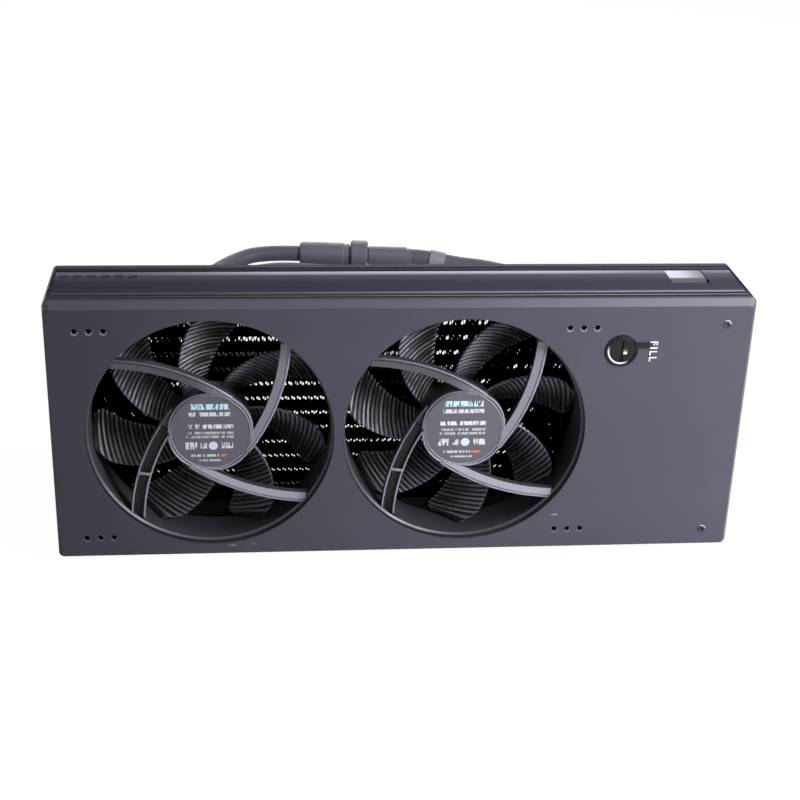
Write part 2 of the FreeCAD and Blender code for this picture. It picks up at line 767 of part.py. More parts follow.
def make_fan_stator(start):
    """Core with four poles round the bearing tube."""
    y0, y1 = start + stator_gap, start + stator_gap + stator_length
    ring = rod_y(0, y0, y1, 0, bearing_radius + stator_ring)
    poles = []
    for i in range(4):
        reach, half = stator_radius - stator_shoe, stator_pole_width / 2
        pole = box(bearing_radius, reach, y0 + 1.5, y1 - 1.5, -half, half)
        shoe = box(reach, stator_radius, y0, y1, -2 * half, 2 * half)
        for piece in (pole, shoe):
            piece.rotate(V(0, 0, 0), V(0, 1, 0), 90 * i + 45)
            poles.append(piece)
    return fuse([ring] + poles).cut(rod_y(0, y0 - 1, y1 + 1, 0, bearing_radius + running_gap))


def make_fan_leads():
    """The flat row of leads in the channel strut, short of the hub."""
    y1 = hub_recess + strut_depth - channel_floor
    y0 = y1 - 2 * lead_radius
    clear = rod_y(0, y0 - 1, y1 + 1, 0, duct_radius - 1)
    clear = clear.cut(rod_y(0, y0 - 1, y1 + 1, 0, hub_base_radius + lead_end_gap))
    return curved_bar(channel_turn, lead_count * 2 * lead_radius, y0, y1).common(clear)


def make_fan_screws():
    screws = []
    offset = fan_hole_pitch / 2
    head = fan_front + 0.2
    for cx in fan_centres:
        for dx in (-offset, offset):
            for dz in (-offset, offset):
                x, z = cx + dx, fan_axis_height + dz
                shank = rod_y(x, head + screw_head_height, fan_rear + rail_sheet + 2.0, z, screw_radius)
                cap = hex_y(x, head, head + screw_head_height + 0.1, z, screw_head_radius)
                screws.append(fuse([cap, shank]))
    return Part.Compound(screws)


# Radiator
def tube_heights():
    return [core_bottom + tube_pitch * (i + 1) for i in range(fin_rows - 1)]


def make_tubes():
    """Flat tubes, each with pointed front and rear edges."""
    tubes = []
    half = core_depth / 2
    t = tube_thickness / 2
    for z in tube_heights():
        y0, y1 = core_middle - half, core_middle + half
        points = [V(core_left, y0 + t, z + t), V(core_left, y1 - t, z + t), V(core_left, y1, z),
                  V(core_left, y1 - t, z - t), V(core_left, y0 + t, z - t), V(core_left, y0, z)]
        tubes.append(Part.Face(Part.makePolygon(points + points[:1])).extrude(V(core_length, 0, 0)))
    return Part.Compound(tubes)


def make_fins():
    """Folded fin strips between the tubes, coarse folds in this model."""
    rows = []
    folds = int(core_length // fin_fold)
    pitch = core_length / folds
    y0 = core_middle - core_depth / 2 + fin_inset
    depth = core_depth - 2 * fin_inset
    edges = [core_bottom] + tube_heights() + [core_top]
    for row in range(fin_rows):
        low = edges[row] + (tube_thickness / 2 if row > 0 else 0)
        high = edges[row + 1] - (tube_thickness / 2 if row < fin_rows - 1 else 0)
        lower, upper = [], []
        for i in range(folds + 1):
            x = core_left + pitch * i
            z = high - fin_sheet if i % 2 else low
            lower.append(V(x, y0, z))
            upper.append(V(x, y0, z + fin_sheet))
        points = lower + upper[::-1]
        strip = Part.Face(Part.makePolygon(points + points[:1])).extrude(V(0, depth, 0))
        rows.append(strip)
    return Part.Compound(rows)


def make_rails():
    """Upper and lower channels that carry the core, with the screw holes for the fans."""
    rails = []
    x0, x1 = core_left, core_right
    hole = screw_radius + running_gap
    for side, face in ((-1, core_bottom), (1, core_top)):
        web = sorted((face, face + side * rail_sheet))
        edge = sorted((face + side * rail_sheet, face + side * (rail_sheet - rail_flange)))
        rail = fuse([box(x0, x1, fan_rear, radiator_rear, *web),
                     box(x0, x1, fan_rear, fan_rear + rail_sheet, *edge),
                     box(x0, x1, radiator_rear - rail_sheet, radiator_rear, *edge)])
        z = fan_axis_height + side * fan_hole_pitch / 2
        for cx in fan_centres:
            for dx in (-fan_hole_pitch / 2, fan_hole_pitch / 2):
                rail = rail.cut(rod_y(cx + dx, fan_rear - 1, fan_rear + rail_sheet + 1, z, hole))
        rails.append(rail)
    return Part.Compound(rails)


def hollow_box(x0, x1, y0, y1, z0, z1, wall):
    outer = box(x0, x1, y0, y1, z0, z1)
    return outer.cut(box(x0 + wall, x1 - wall, y0 + wall, y1 - wall, z0 + wall, z1 - wall))


def tank_span():
    """Front, rear, lower and upper planes of the radiator's end pieces."""
    half = core_depth / 2 + tank_overhang
    return core_middle - half, core_middle + half, core_bottom + tank_end_inset, core_top - tank_end_inset


def make_end_tank():
    y0, y1, z0, z1 = tank_span()
    x0, x1 = core_left - tank_width, core_left
    tank = hollow_box(x0, x1, y0, y1, z0, z1, tank_wall)
    edges = [e for e in tank.Edges if e.BoundBox.XMax < x0 + 0.01 and e.BoundBox.ZLength > (z1 - z0) / 2
             and (abs(e.BoundBox.YMin - y0) < 0.01 or abs(e.BoundBox.YMin - y1) < 0.01)]
    return tank.makeFillet(2.0, edges)


def make_header():
    y0, y1, z0, z1 = tank_span()
    return box(core_right, core_right + header_width, y0, y1, z0, z1)


# Reservoir and fill port
def make_reservoir():
    y0, y1 = front + reservoir_front, rear - reservoir_rear_gap
    outer = slab_y(reservoir_left, reservoir_right, y0, y1, reservoir_bottom, reservoir_top, reservoir_corner)
    w = reservoir_wall
    inner = slab_y(reservoir_left + w, reservoir_right - w, y0 + w, y1 - w, reservoir_bottom + w,
                   reservoir_top - w, reservoir_inner_corner)
    tank = outer.cut(inner)
    x, z = fill_place
    boss = rod_y(x, y0, y0 + fill_boss, z, fill_collar_radius + 1.0)
    tank = tank.fuse(boss).cut(rod_y(x, y0 - 1, y0 + fill_boss + 1, z, fill_collar_radius - fill_neck_step + 0.1))
    px, py = pump_centre
    tank = tank.cut(rod_z(px, py, reservoir_bottom - 1, reservoir_bottom + w + 1, pump_inlet_radius))
    return tank


def make_fill_collar():
    """Threaded collar that stands in the reservoir and shows through the cover."""
    x, z = fill_place
    y0 = front - fill_proud
    seat = front + reservoir_front
    flange = rod_y(x, y0, seat, z, fill_collar_radius)
    neck = rod_y(x, seat - 0.5, seat + fill_neck_length, z, fill_collar_radius - fill_neck_step)
    collar = fuse([flange, neck])
    bore = rod_y(x, y0 - 1, seat + fill_neck_length + 1, z, fill_thread_radius + thread_gap)
    recess = rod_y(x, y0 - 1, fill_seal_front() + o_ring_section, z, fill_plug_head + port_clearance)
    return collar.cut([bore, recess])


def fill_seal_front():
    """Front plane of the seal, under the plug's head."""
    return front - fill_proud + fill_plug_drop + fill_head_height


def make_fill_plug():
    x, z = fill_place
    y0 = front - fill_proud + fill_plug_drop
    head = rod_y(x, y0, y0 + fill_head_height, z, fill_plug_head)
    stem = rod_y(x, y0 + fill_head_height - 0.1, y0 + fill_head_height + fill_plug_length, z,
                 fill_thread_radius - thread_gap)
    reach = fill_plug_head - fill_slot_margin
    slot = box(x - fill_slot_width / 2, x + fill_slot_width / 2, y0 - 1, y0 + fill_slot_depth, z - reach, z + reach)
    return fuse([head, stem]).cut(slot)


def make_fill_seal():
    x, z = fill_place
    y = fill_seal_front()
    inner = fill_thread_radius - thread_gap
    ring = rod_y(x, y, y + o_ring_section, z, inner + o_ring_section)
    return ring.cut(rod_y(x, y - 1, y + o_ring_section + 1, z, inner))


# Pump
def at_pump(shape):
    shape.translate(V(pump_centre[0], pump_centre[1], 0))
    return shape


def make_pump_top():
    roof = pump_roof - pump_wall
    body = rod_z(0, 0, pump_seam, pump_roof, pump_radius)
    chamber = rod_z(0, 0, pump_seam - 1, roof - pump_neck_wall, pump_chamber_radius)
    inlet = rod_z(0, 0, roof - pump_neck_wall - 1, pump_roof + 3, pump_inlet_radius)
    spout_end = rear_inner - pump_centre[1]
    spout = rod_y(pump_outlet_offset, 0, spout_end, pump_port_height, fitting_radius)
    neck = rod_z(0, 0, pump_roof - 0.5, reservoir_bottom, pump_inlet_radius + pump_neck_wall)
    body = fuse([body, spout, neck])
    bore = rod_y(pump_outlet_offset, 0, spout_end + 1, pump_port_height, fitting_bore)
    return at_pump(body.cut([chamber, inlet, bore]))


def ring_z(z0, z1, outer, inner):
    return rod_z(0, 0, z0, z1, outer).cut(rod_z(0, 0, z0 - 1, z1 + 1, inner))


def make_pump_motor():
    """Motor housing with a well for the rotor and a ring groove for the seal."""
    body = rod_z(0, 0, pump_foot_top, pump_seam, pump_radius)
    floor = pump_foot_top + pump_floor
    well = rod_z(0, 0, floor + pump_well_rise, pump_seam + 1, rotor_well_radius)
    coil_room = ring_z(floor, pump_seam - coil_room_drop, pump_stator_radius + coil_gap,
                       rotor_well_radius + rotor_well_wall)
    groove = ring_z(pump_seam - gasket_section, pump_seam + 1, pump_seal_radius + gasket_section,
                    pump_seal_radius)
    shaft_hole = rod_z(0, 0, floor, pump_seam, pump_shaft_radius)
    return at_pump(body.cut([well, coil_room, groove, shaft_hole]))


def make_pump_stator():
    z0, z1 = pump_foot_top + pump_floor + coil_room_drop / 2, pump_seam - coil_room_drop - 1.0
    body = ring_z(z0, z1, pump_stator_radius, rotor_well_radius + rotor_well_wall + running_gap)
    slots = []
    for i in range(6):
        slot = box(rotor_well_radius + 4, pump_stator_radius + 1, -coil_slot_width / 2, coil_slot_width / 2,
                   z0 + 2, z1 + 1)
        slot.rotate(V(0, 0, 0), V(0, 0, 1), 60 * i)
        slots.append(slot)
    return at_pump(body.cut(slots))


def make_pump_rotor():
    low = pump_foot_top + pump_floor + pump_well_rise + 1.0
    magnet = rod_z(0, 0, low, impeller_bottom + impeller_hub, rotor_magnet_radius)
    base = impeller_bottom + impeller_disc
    disc = rod_z(0, 0, impeller_bottom, base, impeller_radius)
    vanes = []
    for i in range(impeller_vanes):
        vane = box(impeller_eye, impeller_radius - 1.5, -impeller_vane_width / 2, impeller_vane_width / 2,
                   base - 0.1, base + impeller_vane_height)
        vane.rotate(V(impeller_eye, 0, 0), V(0, 0, 1), impeller_vane_lean)
        vane.rotate(V(0, 0, 0), V(0, 0, 1), 360.0 / impeller_vanes * i)
        vanes.append(vane)
    body = fuse([magnet, disc] + vanes)
    return at_pump(body.cut(rod_z(0, 0, low - 1, pump_roof, pump_shaft_radius + running_gap)))


def make_pump_shaft():
    top = impeller_bottom + impeller_hub + 2.5
    return at_pump(rod_z(0, 0, pump_foot_top + pump_floor, top, pump_shaft_radius))


def make_pump_seal():
    return at_pump(ring_z(pump_seam - gasket_section, pump_seam, pump_seal_radius + gasket_section,
                          pump_seal_radius))


def make_pump_foot():
    """Rubber ring between the case's floor and the motor."""
    return at_pump(ring_z(sheet, pump_foot_top, pump_radius - pump_foot_slope, pump_foot_bore))


def make_return_duct():
    """Duct from the inlet fitting to the radiator's header plate."""
    x = fittings_x[0]
    x0 = core_right + header_width
    y0, y1, z0, z1 = tank_span()
    low, high = fitting_height - duct_half, fitting_height + duct_half
    plate = box(x0, x0 + duct_plate, y0, y1, z0, reservoir_bottom - port_clearance)
    spout = rod_y(x, y0, rear_inner, fitting_height, fitting_radius)
    link = box(x0, x, y0, y1, low, high)
    body = fuse([plate, spout, link])
    cavity = box(x0 - 1, x, y0 + 2, y1 - 2, low + 2, high - 2)
    bore = rod_y(x, y0 + 2, rear_inner + 1, fitting_height, fitting_bore)
    return body.cut([cavity, bore])


# Fittings and hoses
def make_fitting():
    """Straight hose fitting along Z, seat face at 0, hose meets it at the end."""
    length = fitting_seat_thickness + fitting_neck
    body = rod_z(0, 0, -sheet, length, fitting_radius)
    seat = rod_z(0, 0, 0, fitting_seat_thickness, fitting_seat)
    return fuse([body, seat]).cut(rod_z(0, 0, -sheet - 1, length + 1, fitting_bore))


def make_nut():
    """Compression nut along Z from 0: a hexagon and a plain round skirt over the hose's end."""
    skirt = rod_z(0, 0, nut_length / 2, nut_length, nut_radius - nut_step)
    nut = fuse([hex_z(nut_length / 2 + 0.1, nut_radius), skirt])
    return nut.cut(rod_z(0, 0, -1, nut_length + 1, fitting_bore))


def hex_z(height, radius):
    """Six-sided bar along Z from 0."""
    points = [V(*polar(60 * i, radius), 0) for i in range(6)]
    return Part.Face(Part.makePolygon(points + points[:1])).extrude(V(0, 0, height))


def place_along(shape, point, way):
    shape = shape.copy()
    shape.Placement = FreeCAD.Placement(V(*point), FreeCAD.Rotation(V(0, 0, 1), V(*way)))
    return shape


def coupling_way():
    turn = math.radians(coupling_turn)
    return V(math.cos(turn), math.sin(turn), 0)


def coupling_point(s):
    p = V(*coupling_place) + coupling_way() * s
    return (p.x, p.y, p.z)


def ring_across(centre, way):
    """Outline of the hose across its start, with flat sides to keep its faces few."""
    way = V(way).normalize()
    across = way.cross(V(0, 0, 1)).normalize()
    up = across.cross(way)
    points = []
    for i in range(hose_sides + 1):
        x, z = polar(360.0 / hose_sides * i, hose_radius)
        points.append(centre + across * x + up * z)
    points[-1] = points[0]
    return Part.makePolygon(points)


def tube_route(name, points):
    """Straight runs joined by tangent arcs, with the radii printed."""
    pts = [V(*p) for p in points]
    edges = []
    radii = []
    last = pts[0]
    for a, b, c in zip(pts, pts[1:], pts[2:]):
        into, out = (b - a), (c - b)
        turn = into.getAngle(out)
        reach = 0.45 * min(into.Length, out.Length)
        radii.append(reach / math.tan(turn / 2))
        into.normalize()
        out.normalize()
        begin, end = b - into * reach, b + out * reach
        bisector = (out - into)
        bisector.normalize()
        centre = b + bisector * (reach / math.tan(turn / 2) / math.cos(turn / 2))
        middle = centre - bisector * (reach / math.tan(turn / 2))
        edges.append(Part.makeLine(last, begin))
        edges.append(Part.Arc(begin, middle, end).toShape())
        last = end
    edges.append(Part.makeLine(last, pts[-1]))
    path = Part.Wire(edges)
    tube = path.makePipeShell([ring_across(pts[0], pts[1] - pts[0])], True, False)
    print(name, "length", round(path.Length, 1), "smallest radius", round(min(radii), 1),
          "radii", [round(r) for r in radii])
    return tube


# Routes of the hoses, from the case to the block; the points lie on the hoses' middle lines
hose_start = rear + fitting_seat_thickness + fitting_neck + nut_length


def elbow_end(side):
    """Place where a hose meets its elbow's nut at the block."""
    y = block_y + side * block_port_spacing / 2
    return (block_x + block_port_x - elbow_reach - nut_length, y, elbow_axis_height)


def outer_route_right():
    x, y, z = fittings_x[1], hose_start, fitting_height
    return [(x, y, z), (x, y + 40, z), (x + 4, y + 82, 35), (x + 10, y + 125, 19),
            (x + 16, y + 172, 8.5), (x + 19, y + 222, 6.6), (x + 15, y + 272, 6.6),
            (x + 2, y + 320, 6.6), (x - 19, y + 355, 6.6), (x - 44, y + 374, 6.8), (91, 432, 7.8),
            coupling_point(plug_tail_end + 10), coupling_point(plug_tail_end)]


def outer_route_left():
    x, y, z = elbow_end(-1)
    return [coupling_point(socket_start), coupling_point(socket_start - 33), (-96, 438, 9.2),
            (-114, 415, 6.8), (-127, 384, 6.6), (-139, 338, 6.6), (-144, 289, 6.6), (-138, 241, 8.5),
            (x - 112, y + 43, 16), (x - 82, y + 13, 27), (x - 42, y, z), (x, y, z)]


def inner_route():
    x, y, z = fittings_x[0], hose_start, fitting_height
    u, v, w = elbow_end(1)
    return [(x, y, z), (x, y + 40, z), (x + 3, y + 82, 35), (x + 8, y + 125, 19), (x + 11, y + 172, 8.5),
            (x + 9, y + 222, 6.6), (x - 1, y + 268, 6.6), (x - 21, y + 308, 6.6), (x - 50, y + 338, 6.6),
            (x - 84, y + 352, 6.6), (-3, 412, 6.6), (-36, 421, 6.6), (-62, 423.5, 6.6),
            (-88, 412, 6.6), (-104, 387, 6.6), (-112, 350, 6.6), (-116, 306, 6.6), (-114, 260, 8),
            (u - 94, v + 36, 15), (u - 71, v + 10, 26), (u - 40, v, w), (u, v, w)]


def make_hose_sleeve():
    """Short sleeve over the outer hose, just past the plug."""
    a, b = (V(*p) for p in outer_route_right()[-2:-4:-1])
    way = b - a
    way.normalize()
    start = a + way * sleeve_start
    sleeve = ring_z(0, sleeve_length, sleeve_radius, hose_radius + running_gap)
    return place_along(sleeve, (start.x, start.y, start.z), (way.x, way.y, way.z))


def make_coupling():
    """Socket half, turning collar and plug half, each as its own solid along the same axis."""
    b, pin = coupling_bore, coupling_pin_radius
    body, nut, plug = socket_body_radius, socket_nut_radius, plug_body_radius
    seat = body - coupling_step
    mouth = pin + plug_gap
    socket = turned([(b, socket_start), (nut - 1.4, socket_start), (nut, socket_start + 2.0),
                     (nut, socket_nut_end - 0.8), (body, socket_nut_end), (body, -collar_half - 1.2),
                     (seat, -collar_half - 1.2), (seat, collar_half - 1.6), (mouth, collar_half - 1.6),
                     (mouth, pin_start), (b, pin_start)])
    bore = seat + coupling_gap
    collar = turned([(bore, -collar_half), (collar_radius - collar_bevel, -collar_half),
                     (collar_radius, -collar_half + collar_bevel), (collar_radius, collar_half - collar_bevel),
                     (collar_radius - collar_bevel, collar_half), (bore, collar_half)])
    half = turned([(b, pin_start), (pin, pin_start), (pin, collar_half - 1.4), (plug - 1.0, collar_half - 1.4),
                   (plug - 1.0, collar_half + 0.8), (plug, collar_half + 0.8), (plug, plug_body_end),
                   (plug - 1.2, plug_body_end), (plug - 1.2, plug_tail_end), (b, plug_tail_end)])
    for name, shape in (("coupling_socket", socket), ("coupling_collar", collar), ("coupling_plug", half)):
        save(name, place_along(shape, coupling_place, coupling_way()))


# CPU block
def make_cold_plate():
    half = cold_plate_size / 2
    x, y = block_x, block_y
    plate = box(x - half, x + half, y - half, y + half, 0, cold_plate_thickness)
    plate = plate.makeChamfer(0.6, [e for e in plate.Edges if e.BoundBox.ZMax < 0.01])
    fins = []
    width, length = micro_fin_area
    pitch = width / (micro_fins - 0.5)
    for i in range(micro_fins):
        x0 = x - width / 2 + pitch * i
        fins.append(box(x0, x0 + pitch / 2, y - length / 2, y + length / 2, cold_plate_thickness - 0.1,
                        cold_plate_thickness + micro_fin_height))
    return fuse([plate] + fins)


def block_slab(size, z0, z1, radius):
    half = size / 2
    flat = slab_y(-half, half, 0, z1 - z0, -half, half, radius)
    flat.rotate(V(0, 0, 0), V(1, 0, 0), 90)
    flat.translate(V(block_x, block_y, z0))
    return flat


def block_ports():
    return [(block_x + block_port_x, block_y + side * block_port_spacing / 2) for side in (-1, 1)]


def block_box(half, z0, z1):
    return box(block_x - half[0], block_x + half[0], block_y - half[1], block_y + half[1], z0, z1)


def gasket_ring(z0, z1):
    hole = [side - gasket_width for side in gasket_half]
    return block_box(gasket_half, z0, z1).cut(block_box(hole, z0 - 1, z1 + 1))


def make_block_body():
    z0 = cold_plate_thickness
    body = block_slab(block_size, z0, z0 + block_body_height, block_corner)
    chamber = block_box(chamber_half, z0 - 1, z0 + micro_fin_height + 2.0)
    groove = gasket_ring(z0 - 1, z0 + gasket_section)
    ports = [rod_z(px, py, z0, z0 + block_body_height + 1, fitting_bore) for px, py in block_ports()]
    return body.cut([chamber, groove] + ports)


def make_block_gasket():
    return gasket_ring(cold_plate_thickness, cold_plate_thickness + gasket_section)


def make_block_lid():
    z0 = cold_plate_thickness + block_body_height
    z1 = z0 + bracket_sheet
    lid = block_slab(block_size - 2 * lid_margin, z1, z1 + block_lid_height, block_corner - 2)
    step = block_slab(block_size - 2 * lid_step_margin, z0, z1 + 0.1, block_corner - 3)
    lid = fuse([lid, step])
    return lid.cut([rod_z(px, py, z0 - 1, z0 + 20, fitting_bore) for px, py in block_ports()])


def make_block_bracket():
    """Cross-shaped steel plate between body and lid, a hole in each arm's end."""
    z0 = cold_plate_thickness + block_body_height
    reach = bracket_hole_pitch / math.sqrt(2)
    arms = []
    for i in range(2):
        arm = box(-reach, reach, -bracket_arm_width / 2, bracket_arm_width / 2, 0, bracket_sheet)
        arm.rotate(V(0, 0, 0), V(0, 0, 1), 45 + 90 * i)
        arms.append(arm)
    half = bracket_hole_pitch / 2
    ends = [(dx, dy) for dx in (-half, half) for dy in (-half, half)]
    arms += [rod_z(dx, dy, 0, bracket_sheet, bracket_arm_width / 2) for dx, dy in ends]
    middle = block_size / 2 - block_margin
    plate = fuse(arms + [box(-middle, middle, -middle, middle, 0, bracket_sheet)])
    plate = plate.cut([rod_z(dx, dy, -1, bracket_sheet + 1, bracket_hole_radius) for dx, dy in ends])
    opening = block_size / 2 - lid_step_margin + block_gap
    plate = plate.cut(box(-opening, opening, -opening, opening, -1, bracket_sheet + 1))
    plate.translate(V(block_x, block_y, z0))
    return plate


def make_elbows():
    """Two turned-over elbows on the lid, each a stem and a spout towards -X."""
    z0 = cold_plate_thickness + block_body_height + bracket_sheet + block_lid_height
    elbows = []
    for px, py in block_ports():
        stem = rod_z(px, py, z0, elbow_axis_height + elbow_radius, elbow_radius)
        spout = rod_x(px - elbow_reach, px, py, elbow_axis_height, elbow_radius - elbow_step)
        bores = [rod_z(px, py, z0 - 1, elbow_axis_height, fitting_bore),
                 rod_x(px - elbow_reach - 1, px, py, elbow_axis_height, fitting_bore)]
        elbows.append(fuse([stem, spout]).cut(bores))
    return Part.Compound(elbows)


def make_grommet():
    x, z = right - grommet_inset, grommet_height
    body = fuse([rod_y(x, rear_inner - grommet_lip, rear, z, grommet_radius),
                 rod_y(x, rear, rear + grommet_lip, z, grommet_radius + grommet_flange)])
    return body.cut(rod_y(x, rear_inner - 2 * grommet_lip, rear + 2 * grommet_lip, z, grommet_bore))


save("fan_cover", make_fan_cover())
save("rear_cover", make_rear_cover())
save("cover_posts", make_posts())
save("cover_screws", make_cover_screws())
save("strip_bezel", make_strip_bezel())
save("light_strip", make_light_strip())
save("level_window", make_level_window())
save("led_board", make_led_board())
for number, (x, angle) in enumerate(zip(fan_centres, rotor_angles), 1):
    make_fan_parts(number, x, angle)
save("fan_screws", make_fan_screws())
save("radiator_tubes", make_tubes())
save("radiator_fins", make_fins())
save("radiator_rails", make_rails())
save("end_tank", make_end_tank())
save("header_plate", make_header())
save("reservoir", make_reservoir())
save("fill_collar", make_fill_collar())
save("fill_plug", make_fill_plug())
save("fill_seal", make_fill_seal())
save("pump_top", make_pump_top())
save("pump_motor", make_pump_motor())
save("pump_stator", make_pump_stator())
save("pump_rotor", make_pump_rotor())
save("pump_shaft", make_pump_shaft())
save("pump_seal", make_pump_seal())
save("pump_foot", make_pump_foot())
save("return_duct", make_return_duct())
for name, x in zip(("inlet_fitting", "outlet_fitting"), fittings_x):
    save(name, place_along(make_fitting(), (x, rear, fitting_height), (0, 1, 0)))
case_nuts = [place_along(make_nut(),
                         (x, hose_start - nut_length, fitting_height), (0, 1, 0)) for x in fittings_x]
block_nuts = [place_along(make_nut(), (px - elbow_reach, py, elbow_axis_height),
                          (-1, 0, 0)) for px, py in block_ports()]
save("case_hose_nuts", Part.Compound(case_nuts))
save("block_hose_nuts", Part.Compound(block_nuts))
make_coupling()
save("hose_sleeve", make_hose_sleeve())
save("outer_hose_right", tube_route("outer hose, right", outer_route_right()))
save("outer_hose_left", tube_route("outer hose, left", outer_route_left()))
save("inner_hose", tube_route("inner hose", inner_route()))
save("cold_plate", make_cold_plate())
save("block_body", make_block_body())
save("block_gasket", make_block_gasket())
save("block_bracket", make_block_bracket())
save("block_lid", make_block_lid())
save("block_elbows", make_elbows())
save("cable_grommet", make_grommet())
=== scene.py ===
import json
import math
import random
import bpy
from mathutils import Matrix, Vector


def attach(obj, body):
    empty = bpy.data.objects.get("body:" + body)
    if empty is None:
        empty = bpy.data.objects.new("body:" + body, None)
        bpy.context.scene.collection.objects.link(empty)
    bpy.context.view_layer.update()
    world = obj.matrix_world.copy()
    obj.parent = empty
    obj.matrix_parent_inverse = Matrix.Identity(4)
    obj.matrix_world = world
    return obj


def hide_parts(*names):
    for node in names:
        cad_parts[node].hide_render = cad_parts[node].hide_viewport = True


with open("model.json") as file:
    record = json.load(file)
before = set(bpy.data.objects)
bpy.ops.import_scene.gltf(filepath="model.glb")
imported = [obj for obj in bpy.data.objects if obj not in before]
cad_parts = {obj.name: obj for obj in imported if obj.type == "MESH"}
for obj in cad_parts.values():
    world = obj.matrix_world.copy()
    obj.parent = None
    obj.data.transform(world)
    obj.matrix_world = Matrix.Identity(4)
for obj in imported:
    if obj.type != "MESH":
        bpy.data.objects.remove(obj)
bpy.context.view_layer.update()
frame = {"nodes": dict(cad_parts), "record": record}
nodes = frame["nodes"]
slotOf = {entry["node"]: entry["material_slot"] for entry in frame["record"]["subparts"]}
bodyOf = {node: body for body, group in frame["record"]["behaviour"]["bodies"].items() for node in group}
mm = 0.001
metre = 1000.0      # millimetres in a metre
axisGap = 0.02      # how near to its axis a turned profile ends, in millimetres
print("frame loaded")

# Places that pieces and finishes share, in millimetres
places = {"fanCentres": (-105.8, 34.2), "fanHeight": 76.0, "front": -30.0, "left": -192,
          "portX": 118.3, "portHeight": 124.5, "screwX": 175.8, "screwHeights": (11.8, 139.6)}


# Small helpers around Blender's own tools
def toObjectMode():
    if bpy.context.mode != "OBJECT":
        bpy.ops.object.mode_set(mode="OBJECT")


def deselect():
    toObjectMode()
    bpy.ops.object.select_all(action="DESELECT")


def pick(piece):
    deselect()
    piece.select_set(True)
    bpy.context.view_layer.objects.active = piece


def editAll(piece):
    pick(piece)
    bpy.ops.object.mode_set(mode="EDIT")
    bpy.ops.mesh.select_all(action="SELECT")


def newMesh(name, points, edges=(), faces=()):
    mesh = bpy.data.meshes.new(name)
    mesh.from_pydata(points, edges, faces)
    piece = bpy.data.objects.new(name, mesh)
    bpy.context.scene.collection.objects.link(piece)
    return piece


def applyModifiers(piece):
    pick(piece)
    for modifier in list(piece.modifiers):
        bpy.ops.object.modifier_apply(modifier=modifier.name)


def settle(piece):
    pick(piece)
    bpy.ops.object.transform_apply(location=True, rotation=True, scale=True)


def smooth(piece, degrees=35):
    pick(piece)
    bpy.ops.object.shade_smooth_by_angle(angle=math.radians(degrees))
    faces = piece.modifiers.new("faceNormals", "WEIGHTED_NORMAL")
    faces.keep_sharp = True
    applyModifiers(piece)


def bevelEdges(piece, width, segments=2, degrees=30):
    bevel = piece.modifiers.new("edgeRounding", "BEVEL")
    bevel.width = width * mm
    bevel.segments = segments
    bevel.limit_method = "ANGLE"
    bevel.angle_limit = math.radians(degrees)
    applyModifiers(piece)


def thicken(piece, thickness):
    sheet = piece.modifiers.new("sheet", "SOLIDIFY")
    sheet.thickness = thickness * mm
    sheet.offset = 0
    applyModifiers(piece)


def joinPieces(pieces, name):
    deselect()
    for piece in pieces:
        piece.select_set(True)
    bpy.context.view_layer.objects.active = pieces[0]
    bpy.ops.object.join()
    pieces[0].name = name
    return pieces[0]


def copyPiece(piece, name):
    twin = bpy.data.objects.new(name, piece.data.copy())
    bpy.context.scene.collection.objects.link(twin)
    return twin


def turnPiece(piece, degrees, centre):
    # about the depth axis through the centre, in millimetres
    turn = Matrix.Rotation(math.radians(degrees), 4, "Y")
    place = Matrix.Translation(Vector(centre) * mm)
    piece.data.transform(place @ turn @ place.inverted())


def finishPiece(piece, finish, body):
    piece.data.materials.clear()
    piece.data.materials.append(finish.material)
    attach(piece, body)


def dressNode(node, finish, width, segments=2, degrees=30):
    # a copy of the CAD node with its doubles merged and its edges rounded
    piece = newMesh(node + ".dressed", [])
    piece.data = nodes[node].data.copy()
    piece.data.materials.clear()
    editAll(piece)
    bpy.ops.mesh.remove_doubles(threshold=0.002 * mm)
    bpy.ops.mesh.dissolve_limited(angle_limit=math.radians(1.5))
    toObjectMode()
    if width > 0:
        bevelEdges(piece, width, segments, degrees)
    smooth(piece)
    finishPiece(piece, finish, bodyOf[node])
    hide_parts(node)
    return piece


def spinPoints(name, points, centre, way, steps, degrees):
    # a line of points spun about an axis through the centre, in millimetres
    piece = newMesh(name, [Vector(p) * mm for p in points], [(i, i + 1) for i in range(len(points) - 1)])
    editAll(piece)
    bpy.ops.mesh.spin(steps=steps, angle=math.radians(degrees), center=Vector(centre) * mm, axis=way)
    bpy.ops.mesh.select_all(action="SELECT")
    bpy.ops.mesh.remove_doubles(threshold=0.001 * mm)
    bpy.ops.mesh.normals_make_consistent(inside=False)
    toObjectMode()
    return piece


def turnedPiece(name, profile, origin, steps):
    # pairs of radius and depth behind the origin, turned about the depth axis
    way = Vector((0, 1, 0))
    side = way.orthogonal().normalized()
    points = [Vector(origin) + way * along + side * radius for radius, along in profile]
    return spinPoints(name, points, origin, way, steps, 360)


def cutDrum(piece, radius, start, end, origin, steps):
    # takes a drum with its ends at two depths out of a piece
    profile = ((axisGap, start), (radius, start), (radius, end), (axisGap, end), (axisGap, start))
    cutter = turnedPiece("cutter", profile, origin, steps)
    carve = piece.modifiers.new("carve", "BOOLEAN")
    carve.operation = "DIFFERENCE"
    carve.object = cutter
    applyModifiers(piece)
    bpy.data.objects.remove(cutter)


def blockPiece(name, low, high):
    deselect()
    bpy.ops.mesh.primitive_cube_add(size=1)
    piece = bpy.context.object
    piece.name = name
    for vertex in piece.data.vertices:
        vertex.co = Vector([(high if c > 0 else low)[i] for i, c in enumerate(vertex.co)]) * mm
    return piece


# Camera at the photograph's viewpoint
cameraView = {"place": (-83.5, -787.0, 449.1), "azimuth": -6.11, "elevation": 24.85, "roll": 1.89,
              "lens": 69.06, "sensor": 36, "nearest": 0.01, "farthest": 60}


